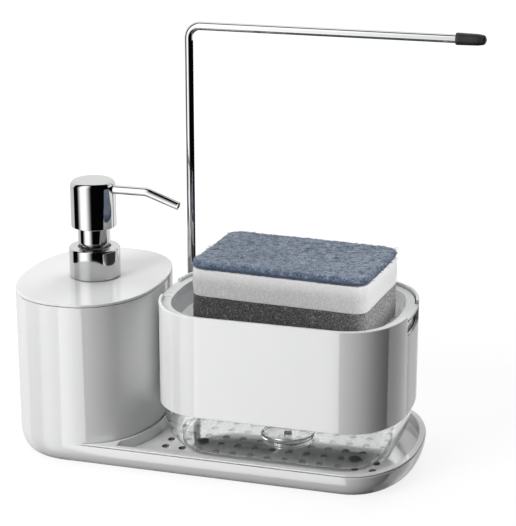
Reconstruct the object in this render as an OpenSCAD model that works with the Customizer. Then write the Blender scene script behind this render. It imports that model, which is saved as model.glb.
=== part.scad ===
// Soap pump caddy: a white base with a moulded soap bottle, a drain tray, a sponge cup in a
// white band, and a rod with an arm to hang a cloth on. Millimetres, +Z up, +X to the right,
// +Y to the back. The origin is the centre of the base, on the counter.

/* [Base] */
// Length of the base, left to right
base_len = 264.5; // [250:0.5:290]
// Depth of the base and of the bottle, front to back
base_depth = 124; // [118:1:134]
// Height of the base's side wall
base_h = 14.7; // [13.5:0.1:17]
// Length of the rounded right end
base_end = 40; // [34:1:48]
// How far the side rounds in towards the counter
base_round = 7; // [4:0.5:14]
// Thickness of the base's side wall
base_wall = 1.8; // [1.6:0.1:2.6]
// Thickness of the floor
floor_t = 2.2; // [1.6:0.1:3]
// Depth of the hollow under the floor
hollow_h = 2; // [1.6:0.1:2.8]
// Height of the body above the counter
ground_gap = 0.8; // [0.5:0.1:1.2]
// Depth of the groove that the non-slip ring sits in
pad_groove = 0.8; // [0.5:0.1:1.2]
// Width of the non-slip ring
pad_w = 6; // [4:0.5:8]

/* [Bottle] */
// Width of the bottle, left to right
bottle_w = 92.5; // [84:0.5:96]
// Height of the bottle's wall above the counter
bottle_h = 106; // [98:0.1:112]
// Thickness of the bottle's wall
bottle_wall = 2.4; // [1.8:0.1:3]
// Height of the lip that carries the lid
bottle_lip = 0.4; // [0.3:0.1:0.8]

/* [Lid] */
// Thickness of the lid's plate
lid_t = 1.7; // [1.5:0.1:3.4]
// Depth of the lid's skirt inside the bottle
lid_skirt_h = 9; // [7:0.5:14]
// Thickness of the lid's skirt
lid_skirt_t = 1.6; // [1.2:0.1:2.2]
// Height of the seal round the skirt
seal_h = 3; // [2:0.5:4]
// Outer radius of the lid's neck
neck_r = 13.7; // [13.2:0.1:13.9]
// Radius of the bore through the lid's neck
neck_bore_r = 10; // [9.6:0.1:10.6]
// Height of the lid's neck
neck_h = 13.9; // [12:0.1:15]

/* [Pump] */
// Outer radius of the chromed collar
collar_r = 16.5; // [16.1:0.1:17.5]
// Thickness of the collar's metal
collar_t = 1.15; // [0.8:0.05:1.25]
// Thickness of the collar's top
collar_top_t = 1.2; // [0.8:0.1:1.6]
// Radius of the pump's fixed neck
pump_neck_r = 10.4; // [9.6:0.1:10.6]
// Rounding under the pump's neck, above the collar
neck_round = 3; // [1.5:0.1:3.2]
// Outer radius of the pump's barrel
barrel_r = 9.2; // [8.8:0.1:9.4]
// Wall of the pump's barrel
barrel_t = 1.4; // [1:0.1:1.6]
// Length of the pump's barrel below its flange
barrel_h = 51.2; // [46:0.1:56]
// Radius of the stem
stem_r = 3.8; // [3.4:0.1:4]
// Radius of the passages through the stem
stem_bore_r = 2; // [1.6:0.1:2.2]
// Height of the piston
piston_h = 7; // [5:0.5:8]
// Stroke of the pump
stroke = 12; // [8:0.5:12]
// Outer radius of the dip tube
dip_r = 3; // [2.6:0.1:3.2]
// Wall of the dip tube
dip_t = 0.9; // [0.6:0.1:1.1]
// Radius of the valve ball
ball_r = 3; // [2.6:0.1:3.4]
// Radius of the spring's wire
spring_wire_r = 0.55; // [0.4:0.05:0.6]
// Number of turns in the spring
spring_turns = 8; // [6:1:10]
// Radius of the head
head_r = 14.6; // [13.6:0.1:15.4]
// Height of the head
head_h = 30.5; // [28:0.5:33]
// Thickness of the head's metal
head_t = 1.2; // [0.8:0.1:1.6]
// Rounding of the head's top edge
head_round = 4; // [2:0.5:6]
// Radius of the spout where it leaves the head
spout_r = 2.9; // [2.7:0.05:3.1]
// Radius of the spout's tip
spout_tip_r = 2.6; // [2.5:0.05:2.7]
// Radius of the passage in the spout
spout_bore_r = 1.9; // [1.5:0.1:2]
// Distance from the pump's axis to the bend of the spout
spout_bend = 36.7; // [30:0.1:40]
// Distance from the pump's axis to the tip of the spout
spout_reach = 58; // [50:0.5:60]
// How far the tip of the spout drops
spout_drop = 7.8; // [5:0.1:10]

/* [Drain tray] */
// Thickness of the tray's rim
tray_rim_t = 1.3; // [1:0.1:2]
// Gap between the tray's walls and the base's
tray_gap = 0.4; // [0.3:0.1:1.5]
// Height of the tray's floor above the counter
tray_floor_z = 7.6; // [7.3:0.1:8.4]
// Thickness of the tray's floor and walls
tray_t = 1.3; // [1:0.1:1.6]
// Width of the tray's rim beside the bottle
tray_lip_w = 1.7; // [1.2:0.1:3]
// Radius of the drain holes
hole_r = 2; // [1.2:0.1:2.4]
// Distance between drain holes, left to right
hole_pitch_x = 11.3; // [9:0.1:14]
// Distance between drain holes, front to back
hole_pitch_y = 11.3; // [9:0.1:13]

/* [Band] */
// Length of the band
band_len = 161.4; // [154:0.2:162.4]
// How far the band stands back from the base's front and back
band_set_back = 6.9; // [5:0.1:9]
// Length of the band's rounded ends
band_end = 42.1; // [38:0.1:46]
// Gap between the bottle and the band
band_gap = 3.7; // [3.5:0.1:6]
// Height of the band's lower edge above the counter
band_z = 39.4; // [36:0.1:44]
// Height of the band
band_h = 65.8; // [60:0.1:70]
// Thickness of the band
band_t = 2; // [1.4:0.1:2.4]
// Width of the finger notches
notch_w = 34; // [28:1:40]
// Depth of the finger notches
notch_h = 12.8; // [10:0.1:14]
// Width of the rail's neck on the bottle
rail_neck_w = 8; // [6:0.5:10]
// Width of the rail's head
rail_head_w = 14.4; // [12.4:0.2:17]
// Height of the rail
rail_h = 40; // [30:1:44]

/* [Cup] */
// Gap between the band and the cup
cup_gap = 0.4; // [0.3:0.05:0.6]
// Thickness of the cup
cup_t = 1.8; // [1.4:0.1:2.4]
// Height of the cup's feet
cup_foot_h = 1.4; // [1:0.1:2]
// Radius of the cup's feet
cup_foot_r = 3.8; // [3:0.1:5]
// Height of the rounding at the cup's bottom
cup_round_h = 28; // [20:1:34]
// How far the cup rounds in at its bottom
cup_round = 14; // [10:1:17]
// Radius of the ring in the cup's floor
cup_ring_r = 17.5; // [14:0.5:20]

/* [Sponge tray] */
// Thickness of the sponge tray
strainer_t = 1.5; // [1.2:0.1:2]
// Width of the sponge tray's flange
strainer_rim_w = 3.9; // [3.4:0.1:6]
// Thickness of the sponge tray's flange
strainer_rim_t = 1.2; // [1:0.1:1.6]
// Depth of the sponge tray
strainer_h = 13.5; // [10:0.1:20]
// How far the foot of the sponge tray's wall slopes inwards
strainer_slope_w = 3; // [1:0.1:4]
// Height of that slope
strainer_slope_h = 8; // [4:0.1:9]
// Width of the finger tabs
tab_w = 30; // [24:1:33]
// Height of the lip on the finger tabs
tab_h = 1.8; // [1.4:0.1:4]

/* [Sponge] */
// Room between the sponge and the tray's wall at each end, before the sponge is turned
sponge_end_gap = 16.1; // [12:0.1:22.8]
// Room between the sponge and the tray's wall at front and back, before the sponge is turned
sponge_side_gap = 10.3; // [9:0.1:17]
// Rounding of the sponge's upright edges
sponge_round = 8; // [4:0.5:12]
// Thickness of the dark foam
dark_foam_t = 21; // [16:0.5:26]
// Thickness of the light foam
light_foam_t = 17; // [14:0.5:24]
// Thickness of the scourer
scourer_t = 6; // [4:0.5:8]
// Turn of the sponge in its tray, degrees
sponge_turn = -4; // [-5:0.5:5]

/* [Hanger] */
// Radius of the rod
rod_r = 2.75; // [2.5:0.05:3]
// Height of the arm's centre above the counter
rod_h = 266; // [264:1:300]
// Inner radius of the rod's bend
rod_bend = 5; // [4:0.5:12]
// Length of the arm from the upright to the end cap
arm_len = 172.4; // [140:0.2:190]
// Distance from the bottle's axis to the rod, left to right
rod_dx = 50.7; // [49:0.1:52]
// Distance from the back of the base to the rod's axis
rod_set_back = 17; // [16:0.5:19]
// Length of the end cap
cap_len = 19.2; // [14:0.2:24]
// Radius of the end cap
cap_r = 3.85; // [3.5:0.05:4.5]
// Radius of the boss that holds the rod
boss_r = 7.4; // [6.8:0.1:7.6]
// Outer radius of the rod's bush
bush_r = 4.7; // [4:0.1:5]

/* [Hidden] */
$fn = 64;

// Points round half of an outline, and rings up a rounded edge
half_steps = 35;
round_rings = 7;
// Exponents of the rounded outlines: 2 is an ellipse, more is squarer
bottle_n = 2.35;
base_n = 2.26;
band_n = 2.47;
// How far a cut runs past the face it cuts
overrun = 1;
// Small clearances: seams that lie open, snug seats, running fits
seam = 0.5;
snug = 0.1;
running = 0.06;
seated = 0.02;

bottle_a = bottle_w / 2;
half_depth = base_depth / 2;
bottle_x = bottle_a - base_len / 2;
base_right_x = base_len / 2 - base_end;
rod_x = bottle_x + rod_dx;
rod_y = half_depth - rod_set_back;
round_h = base_h - ground_gap;
floor_z = ground_gap + hollow_h + floor_t;
rib_t = base_wall;
rib_count = 5;

lid_z = bottle_h + bottle_lip;
lid_top = lid_z + lid_t;
lip_inset = bottle_wall / 2;
seal_w = 0.9;
skirt_inset = bottle_wall + snug + seal_w;
seal_z = lid_z - lid_skirt_h + seal_h;
neck_top = lid_top + neck_h;
thread_h = 1.2;
thread_out = 0.25;
thread_pitch = 4;
thread_count = 2;
thread_gap = 0.2;

// The stack that the collar clamps on the lid's neck
gasket_t = 1.2;
flange_t = 1.2;
flange_r = neck_r - snug;
housing_z = neck_top + gasket_t;
chaplet_z = housing_z + flange_t;
chaplet_top = chaplet_z + flange_t;
liner_top_t = 1;
liner_z = chaplet_top + snug;
liner_bore_r = neck_r + thread_out + thread_gap;
collar_z = lid_top + seam;
collar_top = liner_z + liner_top_t + collar_top_t;
liner_r = collar_r - collar_t - seated;
collar_hole_gap = 0.35;
collar_hole_r = pump_neck_r + collar_hole_gap;

barrel_bore_r = barrel_r - barrel_t;
barrel_floor_t = 4;
barrel_z = chaplet_z - barrel_h;
socket_h = 10;
socket_t = 2;
dip_rise = 4;
dip_z = floor_z + dip_rise;
dip_top = barrel_z - seam;
seat_r_share = 0.75;
ball_z = barrel_z + barrel_floor_t + ball_r * sqrt(1 - seat_r_share * seat_r_share) + seated;
chaplet_plug_h = 4.9;
chaplet_cup_h = 8.5;
chaplet_wall = 2.4;
chaplet_cup_r = pump_neck_r - chaplet_wall;
piston_top = chaplet_z - chaplet_plug_h - seam;
piston_z = piston_top - piston_h;
spring_side_gap = 1.2;
spring_r = barrel_bore_r - spring_wire_r - spring_side_gap;
spring_z = barrel_z + barrel_floor_t;
spring_sides = 8;
spring_steps = 20;

// At full stroke the head stops just above the collar, and it always covers the neck's top
head_clear = 1.7;
head_cover = 1;
head_z = collar_top + stroke + head_clear;
pump_neck_top = head_z + head_cover;
neck_foot_z = collar_top + seam;
neck_steps = 6;
head_top = head_z + head_h;
head_steps = 8;
core_h = 13.5;
core_z = head_top - head_t - core_h;
spout_below_top = 5.7;
spout_z = head_top - spout_below_top;
stem_socket_h = 7.2;
spout_seat = 7;
elbow_bulge = 0.05;

tray_rim_z = base_h;
tray_rim_inset = seam;
tray_out = base_inset(tray_floor_z) + base_wall + tray_gap;
tray_in = tray_out + tray_t;
corner_dx = 16.7;
tray_corner_x = rod_x - corner_dx;
first_hole_dx = 58.6;
hole_x0 = bottle_x + first_hole_dx;
hole_columns = 13;
hole_rows = 7;
hole_edge = 3;

band_a = band_end;
band_depth = base_depth - 2 * band_set_back;
band_straight = band_len / 2 - band_end;
band_x = bottle_x + bottle_a + band_gap + band_len / 2;
band_left = band_x - band_len / 2;
band_top = band_z + band_h;
rail_rise = 8.6;
rail_z = band_z + rail_rise;
rail_neck_t = 1.5;
rail_head_t = 1.3;
channel_t = 1.6;
channel_lip_t = 0.9;
channel_gap = 0.3;
channel_rise = 1.2;

strainer_drop = 2;
strainer_top = band_top - strainer_drop;
cup_top = strainer_top - strainer_rim_t;
cup_inset = band_t + cup_gap;
tray_floor_top = tray_floor_z + tray_t;
cup_z = tray_floor_top + cup_foot_h;
foot_dx = 50;
foot_dy = 23.4;
cup_ring_t = 2.4;
cup_ring_h = 2.4;
nub_r = 2.6;
strainer_inset = cup_inset + strainer_rim_w;
strainer_z = strainer_top - strainer_h - strainer_t;
strainer_floor_top = strainer_z + strainer_t;
slot_r = 2.5;
slot_pitch = 11;
slot_columns = 11;
slot_rows = 7;
tab_lip_t = 1.2;
sponge_len = band_len - 2 * (strainer_inset + strainer_t + sponge_end_gap);
sponge_depth = band_depth - 2 * (strainer_inset + strainer_t + sponge_side_gap);
sponge_dx = 3.4;
sponge_x = band_x + sponge_dx;
sponge_y = 3;
corner_steps = 5;

boss_rise = 1.6;
boss_h = base_h + boss_rise;
bush_flange_t = 1.2;
bush_flange_r = 6.4;
nut_pocket_r = 5.8;
nut_pocket_rise = 1.5;
nut_pocket_top = floor_z + nut_pocket_rise;
nut_af = 8;
nut_h = 3.6;
washer_t = 0.9;
stud_r = 2.4;
stud_rise = 0.6;
stud_z = ground_gap + stud_rise;
washer_gap = 0.3;
washer_z = nut_pocket_top - washer_t - washer_gap;
ferrule_h = 3;
ferrule_r = 4.4;
ferrule_gap = 0.3;
ferrule_z = boss_h + bush_flange_t + ferrule_gap;
rod_bend_r = rod_bend + rod_r;
cap_depth = 13;

// The ring runs inside the rod's nut
pad_inset = rod_set_back + nut_pocket_r + base_wall;
hollow_inset = pad_inset + pad_w + base_wall;

// Outlines

function side_power(v, n) = sign(v) * pow(abs(v), 2 / n);

// One rounded end, its widest line at x, facing right (1) or left (-1)
function end_points(x, a, b, n, side) =
    [for (i = [0:half_steps - 1])
        let (t = -90 + 180 * (i + 0.5) / half_steps)
        [x + side * a * pow(cos(t), 2 / n), side * b * side_power(sin(t), n)]];

function base_points(inset) =
    concat(
        end_points(base_right_x, base_end - inset, half_depth - inset, base_n, 1),
        end_points(bottle_x, bottle_a - inset, half_depth - inset, bottle_n, -1)
    );

function bottle_points(inset) =
    concat(
        end_points(bottle_x, bottle_a - inset, half_depth - inset, bottle_n, 1),
        end_points(bottle_x, bottle_a - inset, half_depth - inset, bottle_n, -1)
    );

function band_points(inset) =
    concat(
        end_points(band_x + band_straight, band_a - inset, band_depth / 2 - inset, band_n, 1),
        end_points(band_x - band_straight, band_a - inset, band_depth / 2 - inset, band_n, -1)
    );

function at_height(points, z) = [for (p = points) [p[0], p[1], z]];

// Inset of the base's rounded side at a height, and of the cup's
function base_inset(z) =
    z >= base_h ? 0 : base_round * (1 - sqrt(max(0, 1 - pow((base_h - z) / round_h, 2))));

function cup_inset_at(z) =
    cup_inset + (z >= cup_z + cup_round_h ? 0
        : cup_round * (1 - sqrt(max(0, 1 - pow((cup_z + cup_round_h - z) / cup_round_h, 2)))));

// Heights up a rounded edge: z, then those more than a gap above it, closer where it turns under
function round_heights(z, top, h, gap = 0) =
    concat([z], [for (i = [1:round_rings])
        let (v = top - h * cos(90 * i / round_rings)) if (v > z + gap) v]);

// A closed solid through rings of points, from the bottom up
module loft(rings) {
    n = len(rings[0]);
    m = len(rings);
    sides = [for (k = [0:m - 2]) for (i = [0:n - 1])
        let (a = k * n + i, b = k * n + (i + 1) % n)
        each [[a, a + n, b], [b, a + n, b + n]]];
    polyhedron(
        [for (r = rings) each r],
        concat([[for (i = [0:n - 1]) i]], sides, [[for (i = [n - 1:-1:0]) (m - 1) * n + i]]),
        convexity = 6
    );
}

module tube(r, bore, z, h) {
    translate([0, 0, z])
        difference() {
            cylinder(r = r, h = h);
            translate([0, 0, -overrun]) cylinder(r = bore, h = h + 2 * overrun);
        }
}

module block(x, y, z) {
    translate([x[0], y[0], z[0]]) cube([x[1] - x[0], y[1] - y[0], z[1] - z[0]]);
}

// Base and bottle

module base_shell() {
    loft([for (z = round_heights(ground_gap, base_h, round_h)) at_height(base_points(base_inset(z)), z)]);
}

module reservoir() {
    low = round_heights(floor_z, base_h, round_h, overrun);
    loft([for (z = concat(low, [lid_z + overrun]))
        at_height(bottle_points(base_inset(z) + bottle_wall), z)]);
}

module basin() {
    low = round_heights(floor_z, base_h, round_h, overrun);
    difference() {
        loft([for (z = concat(low, [base_h + overrun]))
            at_height(base_points(base_inset(z) + base_wall), z)]);
        linear_extrude(base_h + 2 * overrun) polygon(bottle_points(0));
    }
}

module holder_rail() {
    face = bottle_x + bottle_a;
    z = [rail_z, rail_z + rail_h];
    block([face - bottle_wall / 2, face + rail_neck_t], [-rail_neck_w / 2, rail_neck_w / 2], z);
    block([face + rail_neck_t, face + rail_neck_t + rail_head_t], [-rail_head_w / 2, rail_head_w / 2], z);
}

module underside() {
    difference() {
        translate([0, 0, ground_gap - overrun])
            linear_extrude(hollow_h + overrun) polygon(base_points(hollow_inset));
        for (i = [1:rib_count])
            translate([base_len * (i / (rib_count + 1) - 1 / 2), 0, 0])
                block([-rib_t / 2, rib_t / 2], [-half_depth, half_depth], [0, floor_z]);
        translate([rod_x, rod_y, 0]) cylinder(r = boss_r, h = floor_z);
    }
}

module caddy_body() {
    color("white")
    difference() {
        union() {
            difference() {
                union() {
                    base_shell();
                    translate([0, 0, base_h]) linear_extrude(bottle_h - base_h) polygon(bottle_points(0));
                    translate([0, 0, bottle_h - overrun])
                        linear_extrude(bottle_lip + overrun) polygon(bottle_points(lip_inset));
                    holder_rail();
                }
                reservoir();
                basin();
            }
            translate([rod_x, rod_y, floor_z - floor_t])
                cylinder(r = boss_r, h = boss_h - floor_z + floor_t);
        }
        underside();
        translate([0, 0, ground_gap - overrun])
            linear_extrude(pad_groove + overrun)
                difference() {
                    polygon(base_points(pad_inset));
                    polygon(base_points(pad_inset + pad_w));
                }
        translate([rod_x, rod_y, -overrun]) cylinder(r = nut_pocket_r, h = nut_pocket_top + overrun);
        translate([rod_x, rod_y, 0]) cylinder(r = bush_r + seated, h = boss_h + overrun);
    }
}

module base_pad() {
    color("dimgray")
    linear_extrude(ground_gap + pad_groove)
        difference() {
            polygon(base_points(pad_inset + snug));
            polygon(base_points(pad_inset + pad_w - snug));
        }
}

// Lid and its seal

module lid() {
    color("white")
    difference() {
        union() {
            translate([0, 0, lid_z]) linear_extrude(lid_t) polygon(bottle_points(0));
            translate([0, 0, lid_z - lid_skirt_h])
                linear_extrude(lid_skirt_h)
                    difference() {
                        polygon(bottle_points(skirt_inset));
                        polygon(bottle_points(skirt_inset + lid_skirt_t));
                    }
            translate([bottle_x, 0, lid_top]) cylinder(r = neck_r, h = neck_h);
            for (i = [1:thread_count])
                translate([bottle_x, 0, neck_top - i * thread_pitch])
                    cylinder(r = neck_r + thread_out, h = thread_h);
        }
        translate([bottle_x, 0, lid_z - overrun])
            cylinder(r = neck_bore_r, h = neck_top - lid_z + 2 * overrun);
    }
}

module lid_seal() {
    color("lightgray")
    translate([0, 0, seal_z])
        linear_extrude(seal_h)
            difference() {
                polygon(bottle_points(bottle_wall + snug));
                polygon(bottle_points(skirt_inset));
            }
}

// Pump

module pump_housing() {
    color("white")
    translate([bottle_x, 0, 0])
        difference() {
            union() {
                translate([0, 0, housing_z]) cylinder(r = flange_r, h = flange_t);
                translate([0, 0, barrel_z]) cylinder(r = barrel_r, h = barrel_h);
                translate([0, 0, barrel_z - socket_h])
                    cylinder(r = dip_r + socket_t, h = socket_h + overrun);
            }
            translate([0, 0, barrel_z + barrel_floor_t]) cylinder(r = barrel_bore_r, h = barrel_h);
            translate([0, 0, barrel_z - overrun])
                cylinder(r = ball_r * seat_r_share, h = barrel_floor_t + 2 * overrun);
            translate([0, 0, barrel_z - socket_h - overrun])
                cylinder(r = dip_r + seated, h = socket_h + overrun);
        }
}

module pump_gasket() {
    color("gray")
    translate([bottle_x, 0, 0]) tube(flange_r, neck_bore_r, neck_top, gasket_t);
}

// Half section of the neck: a narrow foot through the collar's hole, a round bowl, a straight side
function neck_section() =
    concat(
        [[0, chaplet_top], [pump_neck_r - neck_round, chaplet_top]],
        [for (i = [0:neck_steps])
            let (t = 90 * i / neck_steps)
            [pump_neck_r - neck_round * (1 - sin(t)), neck_foot_z + neck_round * (1 - cos(t))]],
        [[pump_neck_r, pump_neck_top], [0, pump_neck_top]]
    );

module pump_neck() {
    color("silver")
    translate([bottle_x, 0, 0])
        difference() {
            union() {
                translate([0, 0, chaplet_z - chaplet_plug_h])
                    cylinder(r = barrel_bore_r - seated, h = chaplet_plug_h);
                translate([0, 0, chaplet_z]) cylinder(r = flange_r, h = flange_t);
                rotate_extrude() polygon(neck_section());
            }
            translate([0, 0, chaplet_z - chaplet_plug_h - overrun])
                cylinder(r = stem_r + running, h = pump_neck_top);
            translate([0, 0, pump_neck_top - chaplet_cup_h])
                cylinder(r = chaplet_cup_r, h = chaplet_cup_h + overrun);
        }
}

module dip_tube() {
    color("whitesmoke")
    translate([bottle_x, 0, 0]) tube(dip_r, dip_r - dip_t, dip_z, dip_top - dip_z);
}

module valve_ball() {
    color("silver")
    translate([bottle_x, 0, ball_z]) sphere(r = ball_r);
}

// A round wire wound into a helix
module pump_spring() {
    last = spring_turns * spring_steps;
    length = piston_z - spring_z - 2 * spring_wire_r;
    rings = [for (i = [0:last])
        let (t = 360 * i / spring_steps, z = spring_z + spring_wire_r + length * i / last)
        [for (k = [0:spring_sides - 1])
            let (u = 360 * k / spring_sides, r = spring_r + spring_wire_r * cos(u))
            [r * cos(t), r * sin(t), z + spring_wire_r * sin(u)]]];
    color("silver") translate([bottle_x, 0, 0]) mirror([0, 1, 0]) loft(rings);
}

module pump_collar() {
    color("silver")
    translate([bottle_x, 0, 0]) {
        tube(collar_r, collar_r - collar_t, collar_z, collar_top - collar_z);
        tube(collar_r - collar_t / 2, collar_hole_r, collar_top - collar_top_t, collar_top_t);
    }
}

module collar_liner() {
    color("white")
    translate([bottle_x, 0, 0]) {
        tube(liner_r, liner_bore_r, collar_z + seam, liner_z + liner_top_t - collar_z - seam);
        tube(liner_r - seam, collar_hole_r, liner_z, liner_top_t);
    }
}

module pump_stem() {
    color("white")
    translate([bottle_x, 0, 0])
        tube(stem_r, stem_bore_r, piston_z, core_z + stem_socket_h - piston_z - seam);
}

module pump_piston() {
    color("lightgray")
    translate([bottle_x, 0, 0]) tube(barrel_bore_r - running, stem_r + seated, piston_z, piston_h);
}

// Half section of the head's outside: a straight side with a rounded top edge
function head_section(inset) =
    concat(
        [[0, head_z - (inset > 0 ? overrun : 0)], [head_r - inset, head_z - (inset > 0 ? overrun : 0)]],
        [for (i = [0:head_steps])
            let (t = 90 * i / head_steps, r = head_round - inset)
            [head_r - head_round + r * cos(t), head_top - head_round + r * sin(t)]],
        [[0, head_top - inset]]
    );

module pump_head() {
    color("silver")
    translate([bottle_x, 0, 0])
        difference() {
            rotate_extrude() polygon(head_section(0));
            rotate_extrude() polygon(head_section(head_t));
            translate([0, 0, spout_z])
                rotate([0, 90, 0]) cylinder(r = spout_r + snug, h = head_r + overrun);
        }
}

module head_core() {
    color("white")
    translate([bottle_x, 0, 0])
        difference() {
            intersection() {
                rotate_extrude() polygon(head_section(head_t + seated));
                translate([0, 0, core_z]) cylinder(r = head_r, h = core_h);
            }
            translate([0, 0, core_z - overrun]) cylinder(r = stem_r + running, h = stem_socket_h + overrun);
            translate([0, 0, core_z]) cylinder(r = stem_bore_r, h = spout_z - core_z);
            translate([0, 0, spout_z]) rotate([0, 90, 0]) cylinder(r = spout_bore_r, h = head_r);
            translate([spout_seat, 0, spout_z])
                rotate([0, 90, 0]) cylinder(r = spout_r + seated, h = head_r);
        }
}

// A bar that runs level, bends down at a round elbow and narrows to its tip
module spout_bar(r, tip_r, start, extra) {
    run = spout_reach - spout_bend;
    fall = atan2(spout_drop, run);
    slant = norm([run, spout_drop]);
    translate([start, 0, spout_z]) rotate([0, 90, 0]) cylinder(r = r, h = spout_bend - start);
    translate([spout_bend, 0, spout_z]) sphere(r = r + elbow_bulge);
    translate([spout_bend, 0, spout_z])
        rotate([0, 90 + fall, 0]) cylinder(r1 = r, r2 = tip_r, h = slant + extra);
}

module spout_tube() {
    color("silver")
    translate([bottle_x, 0, 0])
        difference() {
            spout_bar(spout_r, spout_tip_r, spout_seat + snug, 0);
            spout_bar(spout_bore_r, spout_bore_r, spout_seat - overrun, overrun);
        }
}

// Drain tray

module tray_outline(inset, beside) {
    difference() {
        polygon(base_points(inset));
        polygon(bottle_points(-beside));
        translate([rod_x, rod_y]) circle(r = boss_r + beside);
    }
}

// A drain hole belongs where the tray's floor is flat
function over_floor(x, y) =
    let (a = base_end - tray_in - hole_edge, b = half_depth - tray_in - hole_edge)
    abs(y) < b && (x < base_right_x
        || pow(abs(x - base_right_x) / a, base_n) + pow(abs(y) / b, base_n) < 1);

function clear_of_boss(x, y) = norm([x - rod_x, y - rod_y]) > boss_r + tray_lip_w + tray_t + hole_edge;

module drain_tray() {
    color("white")
    difference() {
        union() {
            translate([0, 0, tray_rim_z]) linear_extrude(tray_rim_t) tray_outline(tray_rim_inset, seam);
            translate([0, 0, tray_floor_z])
                linear_extrude(tray_rim_z - tray_floor_z) tray_outline(tray_out, seam);
        }
        translate([0, 0, tray_floor_top])
            linear_extrude(base_h)
                intersection() {
                    tray_outline(tray_in, seam + tray_lip_w);
                    translate([tray_corner_x, -half_depth]) square([base_len, base_depth]);
                }
        for (i = [0:hole_columns - 1])
            for (k = [0:hole_rows - 1]) {
                x = hole_x0 + i * hole_pitch_x;
                y = (k - (hole_rows - 1) / 2) * hole_pitch_y;
                if (over_floor(x, y) && clear_of_boss(x, y))
                    translate([x, y, tray_floor_z - overrun])
                        cylinder(r = hole_r, h = tray_t + 2 * overrun, $fn = 24);
            }
    }
}

// Band, hung on the bottle's rail

module band_channel() {
    face = bottle_x + bottle_a;
    lip_x = [face + channel_gap, face + channel_gap + channel_lip_t];
    inner = rail_head_w / 2 + channel_gap;
    z = [rail_z + channel_rise, rail_z + rail_h + channel_t];
    for (side = [-1, 1]) {
        rib = [side * inner, side * (inner + channel_t)];
        lip = [side * (rail_neck_w / 2 + channel_gap), side * (inner + channel_t)];
        block([lip_x[0], band_left + band_t / 2], [min(rib), max(rib)], z);
        block(lip_x, [min(lip), max(lip)], z);
    }
    roof_z = [rail_z + rail_h, z[1]];
    block([lip_x[0], band_left + band_t / 2], [-inner - channel_t, inner + channel_t], roof_z);
}

module holder_band() {
    color("white") {
        difference() {
            union() {
                translate([0, 0, band_z]) linear_extrude(band_h) polygon(band_points(0));
                band_channel();
            }
            translate([0, 0, band_z - overrun])
                linear_extrude(band_h + 2 * overrun) polygon(band_points(band_t));
            block([band_left - overrun, band_left + band_len + overrun], [-notch_w / 2, notch_w / 2],
                [band_top - notch_h, band_top + overrun]);
        }
    }
}

// Cup in the band

module cup() {
    low = round_heights(cup_z, cup_z + cup_round_h, cup_round_h);
    inner_low = round_heights(cup_z + cup_t, cup_z + cup_round_h, cup_round_h, overrun);
    color("lightcyan", 0.4) {
        difference() {
            loft([for (z = concat(low, [cup_top])) at_height(band_points(cup_inset_at(z)), z)]);
            loft([for (z = concat(inner_low, [cup_top + overrun]))
                at_height(band_points(cup_inset_at(z) + cup_t), z)]);
        }
        translate([band_x, 0, cup_z + cup_t / 2]) {
            tube(cup_ring_r, cup_ring_r - cup_ring_t, 0, cup_t / 2 + cup_ring_h);
            cylinder(r = nub_r, h = cup_t / 2 + cup_ring_h);
        }
    }
}

module cup_feet() {
    color("black")
    for (sx = [-1, 1])
        for (sy = [-1, 1])
            translate([band_x + sx * foot_dx, sy * foot_dy, tray_floor_top])
                cylinder(r = cup_foot_r, h = cup_foot_h);
}

// Sponge tray, hung on the cup's rim, with its finger tabs in the band's notches

module tab_outline(inset) {
    intersection() {
        difference() {
            polygon(band_points(0));
            polygon(band_points(inset));
        }
        translate([band_left - overrun, -tab_w / 2]) square([band_len + 2 * overrun, tab_w]);
    }
}

module sponge_tray() {
    inner = strainer_inset + strainer_t;
    color("lightcyan", 0.4)
    difference() {
        union() {
            translate([0, 0, cup_top]) linear_extrude(strainer_rim_t) polygon(band_points(cup_inset));
            translate([0, 0, strainer_z])
                linear_extrude(cup_top - strainer_z) polygon(band_points(strainer_inset));
            translate([0, 0, cup_top]) linear_extrude(strainer_rim_t) tab_outline(strainer_inset);
            translate([0, 0, strainer_top - tab_h]) linear_extrude(tab_h) tab_outline(tab_lip_t);
        }
        loft([
            at_height(band_points(inner + strainer_slope_w), strainer_floor_top),
            at_height(band_points(inner), strainer_floor_top + strainer_slope_h),
            at_height(band_points(inner), strainer_top + overrun)
        ]);
        for (i = [0:slot_columns - 1])
            for (k = [0:slot_rows - 1])
                translate([
                    band_x + (i - (slot_columns - 1) / 2) * slot_pitch,
                    (k - (slot_rows - 1) / 2) * slot_pitch,
                    strainer_z - overrun
                ])
                    cylinder(r = slot_r, h = strainer_t + 2 * overrun, $fn = 24);
    }
}

// Sponge

function sponge_points(w, d, r) =
    [for (k = [0:3]) each
        let (cx = (k == 0 || k == 3 ? 1 : -1) * (w / 2 - r), cy = (k < 2 ? 1 : -1) * (d / 2 - r))
        [for (i = [0:corner_steps])
            let (t = 90 * k + 90 * i / corner_steps)
            [cx + r * cos(t), cy + r * sin(t)]]];

module sponge_layer(z, h) {
    translate([sponge_x, sponge_y, z])
        rotate([0, 0, sponge_turn])
            linear_extrude(h) polygon(sponge_points(sponge_len, sponge_depth, sponge_round));
}

module sponge_base() {
    color("dimgray") sponge_layer(strainer_floor_top, dark_foam_t);
}

module sponge_core() {
    color("ivory") sponge_layer(strainer_floor_top + dark_foam_t, light_foam_t);
}

module sponge_scourer() {
    color("slategray") sponge_layer(strainer_floor_top + dark_foam_t + light_foam_t, scourer_t);
}

// Hanger

module rod_bush() {
    color("gray")
    translate([rod_x, rod_y, 0]) {
        tube(bush_r, rod_r + running, nut_pocket_top, boss_h + bush_flange_t - nut_pocket_top);
        tube(bush_flange_r, rod_r + running, boss_h, bush_flange_t);
    }
}

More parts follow.
